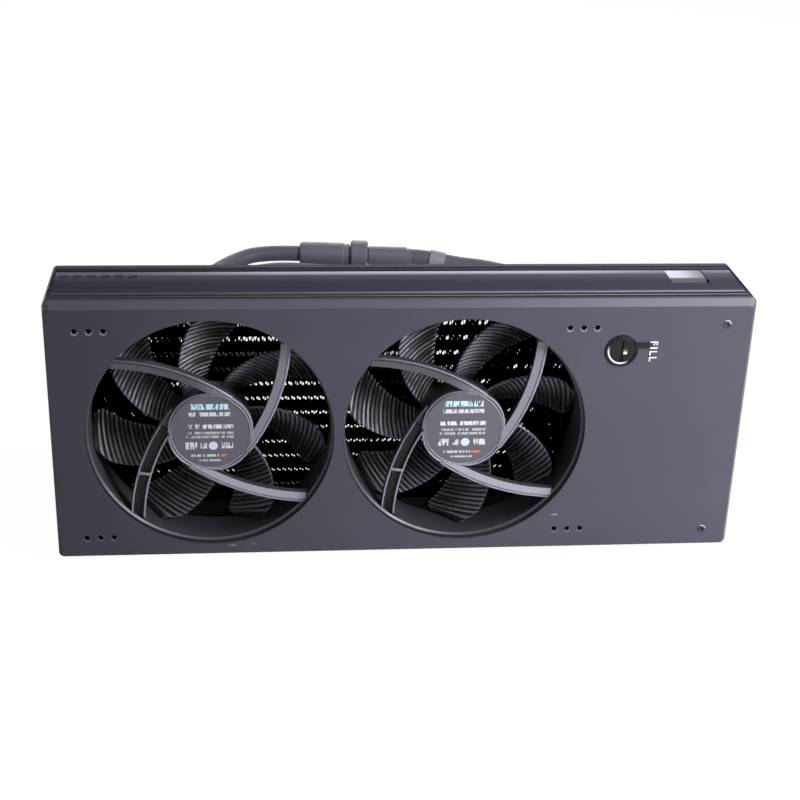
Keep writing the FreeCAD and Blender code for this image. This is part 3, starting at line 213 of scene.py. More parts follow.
def makeCamera():
    azimuth, elevation, roll = (math.radians(cameraView[key]) for key in ("azimuth", "elevation", "roll"))
    back = Vector((math.sin(azimuth) * math.cos(elevation), -math.cos(azimuth) * math.cos(elevation),
                   math.sin(elevation)))
    right = (-back).cross(Vector((0, 0, 1))).normalized()
    up = right.cross(-back)
    rightRolled = right * math.cos(roll) + up * math.sin(roll)
    upRolled = up * math.cos(roll) - right * math.sin(roll)
    data = bpy.data.cameras.new("photoCamera")
    data.lens = cameraView["lens"]
    data.sensor_width = cameraView["sensor"]
    data.clip_start = cameraView["nearest"]
    data.clip_end = cameraView["farthest"]
    camera = bpy.data.objects.new("photoCamera", data)
    bpy.context.scene.collection.objects.link(camera)
    turn = Matrix((rightRolled, upRolled, back)).transposed().to_4x4()
    camera.matrix_world = Matrix.Translation(Vector(cameraView["place"]) * mm) @ turn
    bpy.context.scene.camera = camera


makeCamera()
print("camera set")


# Shader maths
class Signal:
    def __init__(self, graph, socket):
        self.graph = graph
        self.socket = socket

    def maths(self, operation, first, second):
        return self.graph.add("ShaderNodeMath", {"operation": operation}, {0: first, 1: second})

    def __add__(self, other):
        return self.maths("ADD", self, other)

    def __radd__(self, other):
        return self.maths("ADD", other, self)

    def __sub__(self, other):
        return self.maths("SUBTRACT", self, other)

    def __rsub__(self, other):
        return self.maths("SUBTRACT", other, self)

    def __mul__(self, other):
        return self.maths("MULTIPLY", self, other)

    def __rmul__(self, other):
        return self.maths("MULTIPLY", other, self)

    def __truediv__(self, other):
        return self.maths("DIVIDE", self, other)

    def __pow__(self, other):
        return self.maths("POWER", self, other)

    def apply(self, operation, other=0.0):
        return self.maths(operation, self, other)

    def between(self, low, high, toLow=0.0, toHigh=1.0):
        return self.graph.add("ShaderNodeMapRange", {"interpolation_type": "SMOOTHSTEP"},
                              {0: self, 1: low, 2: high, 3: toLow, 4: toHigh})

    def band(self, rise, fall):
        # 1 between two soft edges and 0 outside them
        return self.between(*rise) * (1 - self.between(*fall))


class Graph:
    def __init__(self, tree):
        self.tree = tree

    def add(self, kind, settings=None, inputs=None, output=0):
        node = self.tree.nodes.new(kind)
        for key, value in (settings or {}).items():
            setattr(node, key, value)
        for key, value in (inputs or {}).items():
            if isinstance(value, Signal):
                self.tree.links.new(value.socket, node.inputs[key])
            else:
                node.inputs[key].default_value = value
        return Signal(self, node.outputs[output])


class Finish(Graph):
    def __init__(self, name, colour, roughness, metallic=0.0, specular=0.5):
        self.material = bpy.data.materials.new(name)
        self.material.use_nodes = True
        super().__init__(self.material.node_tree)
        self.shader = self.tree.nodes["Principled BSDF"]
        self.colour = toLinear(colour)
        self.relief = None
        self.set("Base Color", self.colour)
        self.set("Roughness", roughness)
        self.set("Metallic", metallic)
        self.set("Specular IOR Level", specular)
        self.set("IOR", 1.5)

    def set(self, socket, value):
        if isinstance(value, Signal):
            self.tree.links.new(value.socket, self.shader.inputs[socket])
        else:
            self.shader.inputs[socket].default_value = value

    def coordinates(self):
        return self.add("ShaderNodeTexCoord", output="Object")

    def axis(self, which):
        # one coordinate in millimetres
        return self.add("ShaderNodeSeparateXYZ", inputs={0: self.coordinates()}, output=which) * metre

    def noise(self, size, detail=3.0, rough=0.5, stretch=(1, 1, 1)):
        # size is the grain in millimetres
        scale = tuple(metre / size / s for s in stretch)
        place = self.add("ShaderNodeMapping", {}, {"Vector": self.coordinates(), "Scale": scale})
        return self.add("ShaderNodeTexNoise", {}, {"Vector": place, "Scale": 1.0, "Detail": detail,
                                                   "Roughness": rough})

    def tint(self, mask, colour):
        # moves the base colour towards another by the mask
        self.colour = self.add("ShaderNodeMix", {"data_type": "RGBA"},
                               {0: mask, 6: self.colour, 7: toLinear(colour)}, output=2)
        self.set("Base Color", self.colour)

    def bump(self, height, depth, strength=1.0):
        # depth in millimetres
        inputs = {"Height": height, "Distance": depth * mm, "Strength": strength}
        if self.relief:
            inputs["Normal"] = self.relief
        self.relief = self.add("ShaderNodeBump", {}, inputs)
        self.set("Normal", self.relief)

    def patch(self, x, z, centreX, centreZ, halfX, halfZ):
        # soft patch on the front, 1 in its middle
        across = ((x - centreX) / halfX).apply("ABSOLUTE")
        up = ((z - centreZ) / halfZ).apply("ABSOLUTE")
        return (1 - across.between(0.6, 1.0)) * (1 - up.between(0.5, 1.0))


def toLinear(colour):
    # from the 0 to 255 of a screen to the linear values of a socket
    shares = [c / 255 for c in colour]
    return tuple(c / 12.92 if c <= 0.04045 else ((c + 0.055) / 1.055) ** 2.4 for c in shares) + (1,)


# Paint of the case, with painted shade in its gaps, painted light on its edges and marks of use
paint = {"colour": (64, 62, 74), "cloud": (72, 71, 83), "shadow": (46, 44, 54), "shadowSpan": (-190, -40),
         "top": (153.6, 153.8), "besideStrip": ((-24.6, -24.2), (24.0, 24.6)), "gapShade": (12, 12, 16),
         "face": (-29.9, -29.7), "slope": ((-29.9, -29.7), (-26.4, -26.1)), "slopeFoot": (150.0, 150.4),
         "slopeSpan": (-80, 150), "slopeHighlight": (84, 82, 95),
         "smearPatch": (129.4, 127.6, 6.8, 2.8), "smear": (6, 5, 12),
         "scratchPatches": ((-85, 7.6, 17, 0.9), (88, 23.2, 3.4, 0.8)), "scratch": (168, 166, 182),
         "edgeLine": ((189.7, 189.9), (190.4, 190.6)), "edge": (24, 23, 31),
         "holeColumns": (-175.55, -168.05, -160.55, 88.95, 96.45, 103.95), "holeRows": (13.75, 138.25),
         "holeShares": (0.2, 0.5), "holeDrop": 0.62, "holeReach": (2.6, 3.9), "holeLip": (160, 158, 172),
         "chipReach": (0.6, 2.4), "chipHeights": (147, 151), "chip": (205, 205, 214)}


def makeCasePaint():
    finish = Finish("casePaint", paint["colour"], 0.4, specular=0.26)
    finish.tint(finish.noise(60, 3).between(0.35, 0.75, 0, 0.35), paint["cloud"])
    finish.bump(finish.noise(0.35, 2), 0.02, 0.35)
    rub = finish.noise(7, 4, 0.7)
    x, y, z = finish.axis("X"), finish.axis("Y"), finish.axis("Z")
    top = z.between(*paint["top"])
    finish.set("Roughness", rub.between(0.3, 0.75, 0.36, 0.5) + top * 0.5)
    # painted shade in the gaps beside the top strip, dark to their edges
    finish.tint(top * y.band(*paint["besideStrip"]), paint["gapShade"])
    face = 1 - y.between(*paint["face"])
    finish.tint(x.between(*paint["shadowSpan"], 0.45, 0), paint["shadow"])
    # painted highlight on the slope along the top front edge, stronger towards the right
    slope = y.band(*paint["slope"]) * z.between(*paint["slopeFoot"])
    finish.tint(slope * x.between(*paint["slopeSpan"], 0.45, 1), paint["slopeHighlight"])
    speck = finish.noise(1.5, 3, 0.7)
    smear = finish.patch(x, z, *paint["smearPatch"]) * speck.between(0.26, 0.42) * face
    finish.tint(smear, paint["smear"])
    scratch = finish.noise(1.6, 4, 0.7, stretch=(5, 1, 1)).between(0.53, 0.62)
    first, second = (finish.patch(x, z, *patch) for patch in paint["scratchPatches"])
    finish.tint((first + second) * scratch * face * 0.6, paint["scratch"])
    # painted shade in a line along the fold near the right edge
    finish.tint(x.band(*paint["edgeLine"]) * face * 0.8, paint["edge"])
    # a lit lower lip on each small hole
    for holeX in paint["holeColumns"]:
        for holeZ, share in zip(paint["holeRows"], paint["holeShares"]):
            around = (x - holeX) ** 2 + (z - holeZ + paint["holeDrop"]) ** 2
            finish.tint(around.between(*paint["holeReach"], 1, 0) * face * share, paint["holeLip"])
    chips = (1 - (x - places["left"]).between(*paint["chipReach"])) * z.between(*paint["chipHeights"])
    finish.tint(chips * speck.between(0.5, 0.58) * 0.8, paint["chip"])
    return finish


# Plain plastics and metals
def makePlastic(name, colour, roughness, grainSize=0.25, depth=0.015, specular=0.5):
    finish = Finish(name, colour, roughness, specular=specular)
    finish.bump(finish.noise(grainSize, 2), depth, 0.5)
    haze = finish.noise(9, 3)
    finish.set("Roughness", haze.between(0.3, 0.7, roughness - 0.05, roughness + 0.07))
    return finish


def makeMetal(name, colour, roughness, stretch=(1, 1, 1), metallic=1.0):
    finish = Finish(name, colour, roughness, metallic)
    grain = finish.noise(0.4, 3, 0.6, stretch)
    finish.bump(grain, 0.01, 0.4)
    finish.set("Roughness", grain.between(0.3, 0.7, roughness * 0.8, roughness * 1.25))
    return finish


# Smoked strip: a painted pale reflection along its rear edge, two painted highlight lines and a row of plain
# short slots
strip = {"colour": (60, 59, 70), "core": (88, 86, 99), "coreSpan": (-2, 16),
         "shine": (178, 176, 189), "shineBand": ((10.5, 15.0), (16.4, 17.2)), "shineRise": (-160, -60),
         "shineFall": (70, 170), "frontHighlight": (118, 116, 130), "frontEdge": (-13.9, -13.3),
         "frontSpan": (-150, 60), "slot": (40, 39, 47), "slotOrigin": -188, "slotPitch": 7.4,
         "slotSides": ((1.2, 1.6), (5.9, 6.3)), "slotSpan": ((-187, -186.6), (-144, -143.6)),
         "slotBand": ((7.4, 8.0), (12.2, 12.8))}


def makeSmokedStrip():
    finish = Finish("smokedStrip", strip["colour"], 0.6, specular=0.0)
    finish.bump(finish.noise(40, 2), 0.03, 0.3)
    haze = finish.noise(5, 4, 0.6)
    finish.set("Roughness", haze.between(0.3, 0.75, 0.5, 0.66))
    x, y = finish.axis("X"), finish.axis("Y")
    # painted reflection over the rear half, then painted highlights near the rear edge and along the front
    # edge
    finish.tint(y.between(*strip["coreSpan"]), strip["core"])
    share = x.between(*strip["shineRise"], 0.2, 1) * (1 - x.between(*strip["shineFall"], 0, 0.75))
    finish.tint(y.band(*strip["shineBand"]) * share, strip["shine"])
    share = x.between(*strip["frontSpan"], 0.3, 1)
    finish.tint((1 - y.between(*strip["frontEdge"])) * share, strip["frontHighlight"])
    along = (x - strip["slotOrigin"]).apply("MODULO", strip["slotPitch"])
    slots = along.band(*strip["slotSides"]) * x.band(*strip["slotSpan"]) * y.band(*strip["slotBand"])
    finish.tint(slots * 0.5, strip["slot"])
    finish.bump(1 - slots, 0.3, 0.9)
    return finish


# Black carrier of the strip, with a lit line along each of its front rims
bezel = {"colour": (24, 23, 30), "line": (136, 134, 150), "outerRim": ((-18.9, -18.7), (-18.1, -17.9)),
         "innerRim": ((-15.1, -14.9), (-14.4, -14.2)), "heights": (152.2, 152.6), "span": (-140, 120)}


def makeBezelRim():
    finish = Finish("bezelRim", bezel["colour"], 0.55, specular=0.02)
    finish.bump(finish.noise(0.25, 2), 0.01, 0.4)
    y, z = finish.axis("Y"), finish.axis("Z")
    lines = y.band(*bezel["outerRim"]) + y.band(*bezel["innerRim"])
    share = finish.axis("X").between(*bezel["span"], 0.25, 1)
    finish.tint(lines * z.between(*bezel["heights"]) * share, bezel["line"])
    return finish


# Port and its plug: the bands are squares of the distance from the middle
port = {"colour": (20, 20, 24), "ring": ((44, 48), (60, 63)), "ringWay": (-0.62, -0.78),
        "ringRise": (1.5, 5.5), "ringTone": (224, 222, 232), "upper": ((55, 57), (61, 63)),
        "upperWay": (0.7, 0.7), "upperRise": (3.0, 6.5), "upperTone": (120, 118, 130),
        "glint": (2.1, -0.5, 1.2, 1.7), "glintTone": (240, 240, 246)}


def makePort():
    finish = Finish("portBlack", port["colour"], 0.24, specular=0.16)
    finish.bump(finish.noise(0.3, 2), 0.01, 0.4)
    x, z = finish.axis("X") - places["portX"], finish.axis("Z") - places["portHeight"]
    reach = x ** 2 + z ** 2
    # painted highlights: a bright crescent on the ring and a dimmer arc above it, then a painted glint
    for part, share in (("ring", 1.0), ("upper", 0.6)):
        wayX, wayZ = port[part + "Way"]
        lit = (x * wayX + z * wayZ).between(*port[part + "Rise"])
        finish.tint(reach.band(*port[part]) * lit * share, port[part + "Tone"])
    glint = finish.patch(x, z, *port["glint"]) * finish.noise(1.1, 2).between(0.46, 0.52)
    finish.tint(glint, port["glintTone"])
    return finish


# Front screws, each with a lit rim and sparks in its socket
coverScrew = {"colour": (34, 33, 40), "rim": (182, 180, 192), "rimInner": (3.4, 3.9), "rimOuter": (7.0, 7.8),
              "rimWay": (0.5, 0.86), "rimRise": (0.6, 1.8), "spark": (150, 148, 158),
              "sparkReach": (1.2, 1.8)}


def makeCoverScrew():
    finish = Finish("coverScrew", coverScrew["colour"], 0.34, metallic=0.3)
    finish.bump(finish.noise(0.3, 2), 0.01, 0.4)
    x, z = finish.axis("X") - places["screwX"], finish.axis("Z")
    wayX, wayZ = coverScrew["rimWay"]
    for height in places["screwHeights"]:
        up = z - height
        reach = x ** 2 + up ** 2
        rim = reach.between(*coverScrew["rimInner"]) * reach.between(*coverScrew["rimOuter"], 1, 0)
        lit = (x * wayX + up * wayZ).between(*coverScrew["rimRise"])
        finish.tint(rim * lit * 0.9, coverScrew["rim"])
        sparks = reach.between(*coverScrew["sparkReach"], 1, 0) * finish.noise(0.9, 2).between(0.5, 0.56)
        finish.tint(sparks * 0.7, coverScrew["spark"])
    return finish


# Ribbed sleeve beside the coupling, with a painted highlight on each ridge
sleeve = {"colour": (118, 116, 126), "ridge": (150, 148, 158), "pitch": 1.6,
          "sides": ((0.1, 0.6), (1.0, 1.5))}


def makeSleeve():
    finish = Finish("ribbedSleeve", sleeve["colour"], 0.5, specular=0.3)
    ridge = finish.axis("X").apply("MODULO", sleeve["pitch"]).band(*sleeve["sides"])
    finish.tint(ridge, sleeve["ridge"])
    finish.bump(ridge, 0.2, 0.6)
    return finish


# Clear window, painted pale as a painted reflection, with painted shade towards its right end and in front
window = {"colour": (176, 175, 188), "right": (104, 103, 114), "rightSpan": (156, 172),
          "front": (58, 57, 67), "frontEdge": (4.4, 6.4)}


def makeClear():
    finish = Finish("clearWindow", window["colour"], 0.3, specular=0.1)
    finish.tint(finish.axis("X").between(*window["rightSpan"]), window["right"])
    finish.tint(1 - finish.axis("Y").between(*window["frontEdge"]), window["front"])
    finish.bump(finish.noise(4, 3), 0.02, 0.3)
    return finish


def makeHoseRubber():
    finish = Finish("hoseRubber", (84, 82, 94), 0.6, specular=0.35)
    finish.bump(finish.noise(0.5, 3), 0.02, 0.5)
    dust = finish.noise(14, 4, 0.6)
    finish.tint(dust.between(0.5, 0.8, 0, 0.3), (98, 96, 108))
    finish.set("Roughness", dust.between(0.3, 0.75, 0.56, 0.7))
    return finish


def makeBoard():
    finish = Finish("boardGreen", (24, 46, 38), 0.45)
    finish.bump(finish.noise(1.2, 1), 0.03, 0.4)
    return finish


# Round film on a fan's hub: rows of blank bars as low, high, left, right and tone, and a plain disc
film = {"colour": (82, 81, 91), "softUp": 0.15, "softAcross": 0.2, "disc": (1.3, -8.2),
        "discReach": (5.6, 6.6), "discTone": (206, 212, 226),
        "bars": ((13.6, 17.2, -11.0, 10.6, (186, 222, 232)), (9.6, 12.2, -11.8, 11.2, (206, 208, 214)),
                 (2.2, 4.8, -13.2, 12.6, (214, 216, 222)), (-1.2, 0.4, -12.4, 12.6, (176, 178, 186)),
                 (-3.6, -2.0, -13.4, 12.6, (176, 178, 186)), (-10.4, -6.0, -14.0, -7.4, (206, 208, 214)),
                 (-10.0, -6.4, -5.8, -2.0, (196, 198, 204)), (-10.0, -6.2, 5.8, 12.8, (206, 208, 214)),
                 (-15.0, -13.4, -11.0, 4.4, (196, 198, 204)), (-15.0, -13.4, 5.0, 9.8, (206, 112, 84)),
                 (-17.8, -16.6, -6.6, 5.8, (186, 188, 196)))}


def makeLabelFilm(centreX, name):
    finish = Finish(name, film["colour"], 0.45)
    finish.bump(finish.noise(0.3, 2), 0.01, 0.3)
    x, z = finish.axis("X") - centreX, finish.axis("Z") - places["fanHeight"]
    broken = finish.noise(0.9, 0, 0.5, stretch=(1, 1, 5)).between(0.4, 0.45)
    softUp, softAcross = film["softUp"], film["softAcross"]
    for low, high, left, right, tone in film["bars"]:
        bar = z.band((low, low + softUp), (high - softUp, high))
        bar = bar * x.band((left, left + softAcross), (right - softAcross, right))
        finish.tint(bar * broken * 0.9, tone)
    discX, discZ = film["disc"]
    disc = ((x - discX) ** 2 + (z - discZ) ** 2).between(*film["discReach"], 1, 0)
    finish.tint(disc * 0.9, film["discTone"])
    return finish


# Struts painted lighter than the fan's plastic as painted light, with painted shade towards the upper left of
# either fan
strutShade = {"colour": (134, 132, 145), "paintedShade": (74, 73, 82), "span": (0, 46)}


def makeStrutPlastic():
    finish = makePlastic("paintedLitStrutPlastic", strutShade["colour"], 0.4)
    firstX, secondX = places["fanCentres"]
    half = (secondX - firstX) / 2
    across = (finish.axis("X") + (half - firstX)).apply("MODULO", 2 * half) - half
    upper = finish.axis("Z") - places["fanHeight"] - across
    finish.tint(upper.between(*strutShade["span"]), strutShade["paintedShade"])
    return finish


casePaint = makeCasePaint()
fanPlastic = makePlastic("fanPlastic", (50, 49, 56), 0.4)
paintedLitStrutPlastic = makeStrutPlastic()
blackPlastic = makePlastic("blackPlastic", (24, 24, 28), 0.4)
clearPlastic = makeClear()
smokedStrip = makeSmokedStrip()
radiatorBlack = makePlastic("radiatorBlack", (13, 13, 15), 0.6, 0.6, 0.02, 0.06)
finBlack = makePlastic("finBlack", (4, 4, 5), 0.7, 0.6, 0.02, 0.0)
blackNickel = makeMetal("blackNickel", (58, 57, 64), 0.3, metallic=0.85)
couplingBlack = makePlastic("couplingBlack", (96, 94, 106), 0.5, 0.5, 0.02, 0.4)
portBlack = makePort()
plainSteel = makeMetal("plainSteel", (150, 150, 155), 0.36)
brassMetal = makeMetal("brassMetal", (196, 158, 92), 0.3)
copperMetal = makeMetal("copperMetal", (200, 128, 92), 0.28, stretch=(6, 1, 1))
screwBlack = makeMetal("screwBlack", (44, 43, 50), 0.34, metallic=0.7)
blackRubber = makePlastic("blackRubber", (24, 24, 26), 0.7, 0.5, 0.03, 0.3)
hoseRubber = makeHoseRubber()
leadSleeve = makePlastic("leadSleeve", (34, 34, 40), 0.45, 0.4, 0.03)
boardGreen = makeBoard()
letterWhite = makePlastic("letterWhite", (232, 233, 238), 0.5)
# the finish of each slot, and of the nodes that differ from their slot
finishOf = {"cover_paint": casePaint, "plain_steel": plainSteel, "black_screws": screwBlack,
            "black_plastic": blackPlastic, "smoked_plastic": smokedStrip, "clear_plastic": clearPlastic,
            "circuit_board": boardGreen, "black_radiator": radiatorBlack, "plated_brass": blackNickel,
            "black_rubber": blackRubber, "hose_rubber": hoseRubber, "copper": copperMetal,
            "brass": brassMetal, "fan_plastic": fanPlastic, "lead_sleeve": leadSleeve,
            "label_film": fanPlastic}
ownFinish = {"strip_bezel": makeBezelRim(), "fill_collar": portBlack, "fill_plug": portBlack,
             "cover_screws": makeCoverScrew(), "hose_sleeve": makeSleeve(), "radiator_tubes": finBlack,
             "coupling_socket": couplingBlack, "coupling_collar": couplingBlack,
             "coupling_plug": couplingBlack}


def finishFor(node):
    return ownFinish.get(node, finishOf[slotOf[node]])


print("finishes made")


# Hoses follow the same points as the solids
hose = {"radius": 6.4, "roundness": 8, "smoothness": 14}
hoseRoutes = {
    "outer_hose_right": [(159, 53, 46), (159, 93, 46), (163, 135, 35), (169, 178, 19), (175, 225, 8.5),
                         (178, 275, 6.6), (174, 325, 6.6), (161, 373, 6.6), (140, 408, 6.6),
                         (115, 427, 6.8), (91, 432, 7.8), (62.8, 435.8, 13), (52.8, 436.7, 13)],
    "outer_hose_left": [(-40.8, 445.4, 13), (-73.6, 448.5, 13), (-96, 438, 9.2), (-114, 415, 6.8),
                        (-127, 384, 6.6), (-139, 338, 6.6), (-144, 289, 6.6), (-138, 241, 8.5),
                        (-122, 202, 16), (-92, 172, 27), (-52, 159, 34), (-10, 159, 34)],
    "inner_hose": [(116.2, 53, 46), (116.2, 93, 46), (119.2, 135, 35), (124.2, 178, 19), (127.2, 225, 8.5),
                   (125.2, 275, 6.6), (115.2, 321, 6.6), (95.2, 361, 6.6), (66.2, 391, 6.6),
                   (32.2, 405, 6.6), (-3, 412, 6.6), (-36, 421, 6.6), (-62, 423.5, 6.6), (-88, 412, 6.6),
                   (-104, 387, 6.6), (-112, 350, 6.6), (-116, 306, 6.6), (-114, 260, 8), (-104, 221, 15),
                   (-81, 195, 26), (-50, 185, 34), (-10, 185, 34)]}


def makeHoseLine(node):
    points = hoseRoutes[node]
    curve = bpy.data.curves.new(node + ".hose", "CURVE")
    curve.dimensions = "3D"
    curve.bevel_depth = hose["radius"] * mm
    curve.bevel_resolution = hose["roundness"]
    curve.resolution_u = hose["smoothness"]
    curve.use_fill_caps = True
    spline = curve.splines.new("NURBS")
    spline.points.add(len(points) - 1)
    for point, (x, y, z) in zip(spline.points, points):
        point.co = (x * mm, y * mm, z * mm, 1)
    spline.order_u = 3
    spline.use_endpoint_u = True
    line = bpy.data.objects.new(node + ".hose", curve)
    bpy.context.scene.collection.objects.link(line)
    finishPiece(line, hoseRubber, "case")
    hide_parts(node)


dressed = {}
for node in ("coupling_socket", "coupling_collar", "coupling_plug", "hose_sleeve", "case_hose_nuts",
             "block_hose_nuts"):
    dressed[node] = dressNode(node, finishFor(node), 0.25, 2, 40)
makeHoseLine("outer_hose_right")
makeHoseLine("outer_hose_left")
makeHoseLine("inner_hose")
print("hoses laid")


# Case, top strip and the plain pieces, with the width of their rounded edges
edgeWidths = {"fan_cover": 0.3, "rear_cover": 0.3, "strip_bezel": 0.15, "light_strip": 0.2,
              "level_window": 0.3, "fill_collar": 0.3, "fill_plug": 0.25, "reservoir": 0.8, "pump_top": 0.5,
              "pump_motor": 0.3, "pump_foot": 0.5, "return_duct": 0.5, "inlet_fitting": 0.3,
              "outlet_fitting": 0.3, "cold_plate": 0.15, "block_body": 0.6, "block_bracket": 0.3,
              "block_lid": 0.6, "block_elbows": 0.4, "cable_grommet": 0.35, "end_tank": 0.4,
              "header_plate": 0.2, "radiator_rails": 0.2, "radiator_tubes": 0, "fan_frame_1": 0.25,
              "fan_frame_2": 0.25, "cover_posts": 0, "cover_screws": 0.1, "fan_screws": 0.15}
screwSocket = {"radius": 1.25, "before": -0.5, "depth": 1.2, "sides": 6}
for node, width in edgeWidths.items():
    dressed[node] = dressNode(node, finishFor(node), width)
for node, piece in nodes.items():
    if node not in dressed and node not in hoseRoutes:
        for place in piece.material_slots:
            place.material = finishFor(node).material
for number, centreX in enumerate(places["fanCentres"], 1):
    labelFilm = makeLabelFilm(centreX, "labelFilm" + str(number))
    for place in nodes["fan_label_" + str(number)].material_slots:
        place.material = labelFilm.material
for height in places["screwHeights"]:
    cutDrum(dressed["cover_screws"], screwSocket["radius"], screwSocket["before"], screwSocket["depth"],
            (places["screwX"], places["front"], height), screwSocket["sides"])
print("case dressed")


# Radiator fins at their real fineness
fins = {"left": -176.4, "right": 104.8, "bottom": 11.95, "pitch": 9.15, "rows": 14, "tube": 1.7,
        "endGap": 0.1, "air": 0.08, "fold": 1.645, "start": 1.2, "margin": 3.0, "stop": 0.1,
        "front": 2.2, "rear": 15.6, "sheet": 0.16, "lean": 0.85, "scatter": 0.14, "push": 0.7,
        "pushedShares": (0.22, 0.92), "pushedSpan": (-50.0, 20.0),
        "wave": ((-0.5, 0.5), (-0.36, 0.86), (-0.16, 1.0), (0.16, 1.0), (0.36, 0.86))}


def makeFineFins():
    chance = random.Random(7)
    spanFrom, spanTo = fins["pushedSpan"]
    few, many = fins["pushedShares"]
    folds = int((fins["right"] - fins["left"] - fins["margin"]) / fins["fold"])
    points, faces = [], []
    for row in range(fins["rows"]):
        below = fins["tube"] / 2 if row else fins["endGap"]
        above = fins["tube"] / 2 if row < fins["rows"] - 1 else fins["endGap"]
        low = fins["bottom"] + row * fins["pitch"] + below + fins["air"]
        high = fins["bottom"] + (row + 1) * fins["pitch"] - above - fins["air"]
        for fold in range(folds):
            # the folds aren't quite even, and some are pushed together, more of them to the right
            drift = chance.gauss(0, fins["scatter"])
            place = fins["left"] + fold * fins["fold"]
            share = min(1.0, max(0.0, (place - spanFrom) / (spanTo - spanFrom)))
            if chance.random() < few + (many - few) * share:
                drift += chance.choice((-fins["push"], fins["push"]))
            for across, up in fins["wave"]:
                x = fins["left"] + fins["start"] + (fold + 0.5 + across) * fins["fold"]
                z = low + (high - low) * (up if (fold + row) % 2 else 1 - up)
                deep = min(x + fins["lean"] + drift, fins["right"] - fins["stop"])
                points += [Vector((x, fins["front"], z)) * mm, Vector((deep, fins["rear"], z)) * mm]
                if fold or across > -0.5:
                    last = len(points)
                    faces.append((last - 4, last - 2, last - 1, last - 3))
    piece = newMesh("fineFins", points, (), faces)
    thicken(piece, fins["sheet"])
    finishPiece(piece, finBlack, "case")
    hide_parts("radiator_fins")


makeFineFins()
print("fins folded")


# Fan blades, with depths behind the fan's front and angles in degrees
fan = {"front": -26.1, "restAngles": (7.9, -15.0), "blades": 7, "hubRadius": 22.0, "rootOverlap": 0.6,
       "tip": 64.9, "bladeFront": 11.5, "bladeRear": 23.6, "thickness": 1.3, "sweep": 0.77,
       "chordRoot": 33.0, "chordTip": 26.0, "angleRadius": 45.0, "camber": 1.3, "cornerTurn": 6.0,
       "cornerLength": 7.0, "cornerPower": 2.2, "groovePitch": 2.5, "grooveDepth": 1.25, "grooveStart": 24.0,
       "grooveShape": 1.6, "fadeStart": 25.0, "fadeLength": 2.0, "fadeEdge": 0.04, "rows": 134, "columns": 20}


bladeShade = {"colour": (92, 91, 101), "valleyShade": (16, 16, 20), "valleyStart": (24.5, 26.5),
              "paintedShade": (12, 12, 15), "across": (0.25, 0.85, 0.96, 0), "nearHub": (25, 36, 0.8, 0)}


def makeBladePlastic(centreX, rest, name):
    finish = makePlastic(name, bladeShade["colour"], 0.4)
    x, z = finish.axis("X") - centreX, finish.axis("Z") - places["fanHeight"]
    # painted shade between the ridges, which run round the fan's axis
    reach = (x ** 2 + z ** 2) ** 0.5
    ridge = ((reach - fan["grooveStart"]) * (math.pi / fan["groovePitch"])).apply("SINE") ** 2
    valleyShade = ridge.between(0.1, 0.6, 1, 0) * reach.between(*bladeShade["valleyStart"])
    finish.tint(valleyShade, bladeShade["valleyShade"])
    # and painted shade across each blade towards its rear edge and the hub
    pitch = 360 / fan["blades"]
    taper = (fan["chordTip"] - fan["chordRoot"]) / (fan["tip"] - fan["hubRadius"])
    chord = (reach - fan["hubRadius"]) * taper + fan["chordRoot"]
    angle = z.apply("ARCTAN2", x) * (180 / math.pi) + (10 * pitch - rest)
    across = (angle + (reach - fan["angleRadius"]) * fan["sweep"] + chord).apply("MODULO", pitch) / chord
    shade = across.between(*bladeShade["across"])
    finish.tint(shade.apply("MAXIMUM", reach.between(*bladeShade["nearHub"])), bladeShade["paintedShade"])
    return finish


def bladeCorner(radius):
    # how far both edges of a blade draw in towards its tip
    left = fan["tip"] - radius
    return fan["cornerTurn"] * max(0.0, 1 - left / fan["cornerLength"]) ** fan["cornerPower"]


def makeBlade(centreX, angle):
    deselect()
    bpy.ops.mesh.primitive_grid_add(x_subdivisions=fan["rows"], y_subdivisions=fan["columns"], size=1)
    blade = bpy.context.object
    hub, tip, overlap, edge = fan["hubRadius"], fan["tip"], fan["rootOverlap"], fan["fadeEdge"]
    for vertex in blade.data.vertices:
        along, step = vertex.co.x + 0.5, vertex.co.y + 0.5
        radius = hub - overlap + (tip - hub + overlap) * along
        span = (radius - hub) / (tip - hub)
        chord = fan["chordRoot"] + (fan["chordTip"] - fan["chordRoot"]) * span
        middle = -fan["sweep"] * (radius - fan["angleRadius"])
        draw = bladeCorner(radius)
        trail, lead = middle - draw, middle - chord + draw
        depth = fan["bladeRear"] + (fan["bladeFront"] - fan["bladeRear"]) * step
        depth += fan["camber"] * 4 * step * (1 - step)
        wave = math.cos(math.pi * (radius - fan["grooveStart"]) / fan["groovePitch"])
        ripple = 1 - abs(wave) ** fan["grooveShape"]
        fade = min(1.0, max(0.0, (radius - fan["fadeStart"]) / fan["fadeLength"]))
        fade *= min(1.0, (1 - step) / edge) * min(1.0, step / edge)
        depth -= fan["grooveDepth"] * (ripple - 0.5) * fade
        turn = math.radians(lead + (trail - lead) * step + angle)
        vertex.co = Vector((centreX + radius * math.cos(turn), fan["front"] + depth,
                            places["fanHeight"] + radius * math.sin(turn))) * mm
    thicken(blade, fan["thickness"])
    editAll(blade)
    bpy.ops.mesh.normals_make_consistent(inside=False)
    toObjectMode()
    return blade


# Hub cup behind the film, with depths behind the fan's front
cup = {"front": 5.2, "wall": 1.6, "lip": 0.5, "side": 16.3, "round": 1.2, "inside": 16.0, "rear": 17.5,
       "steps": 72}


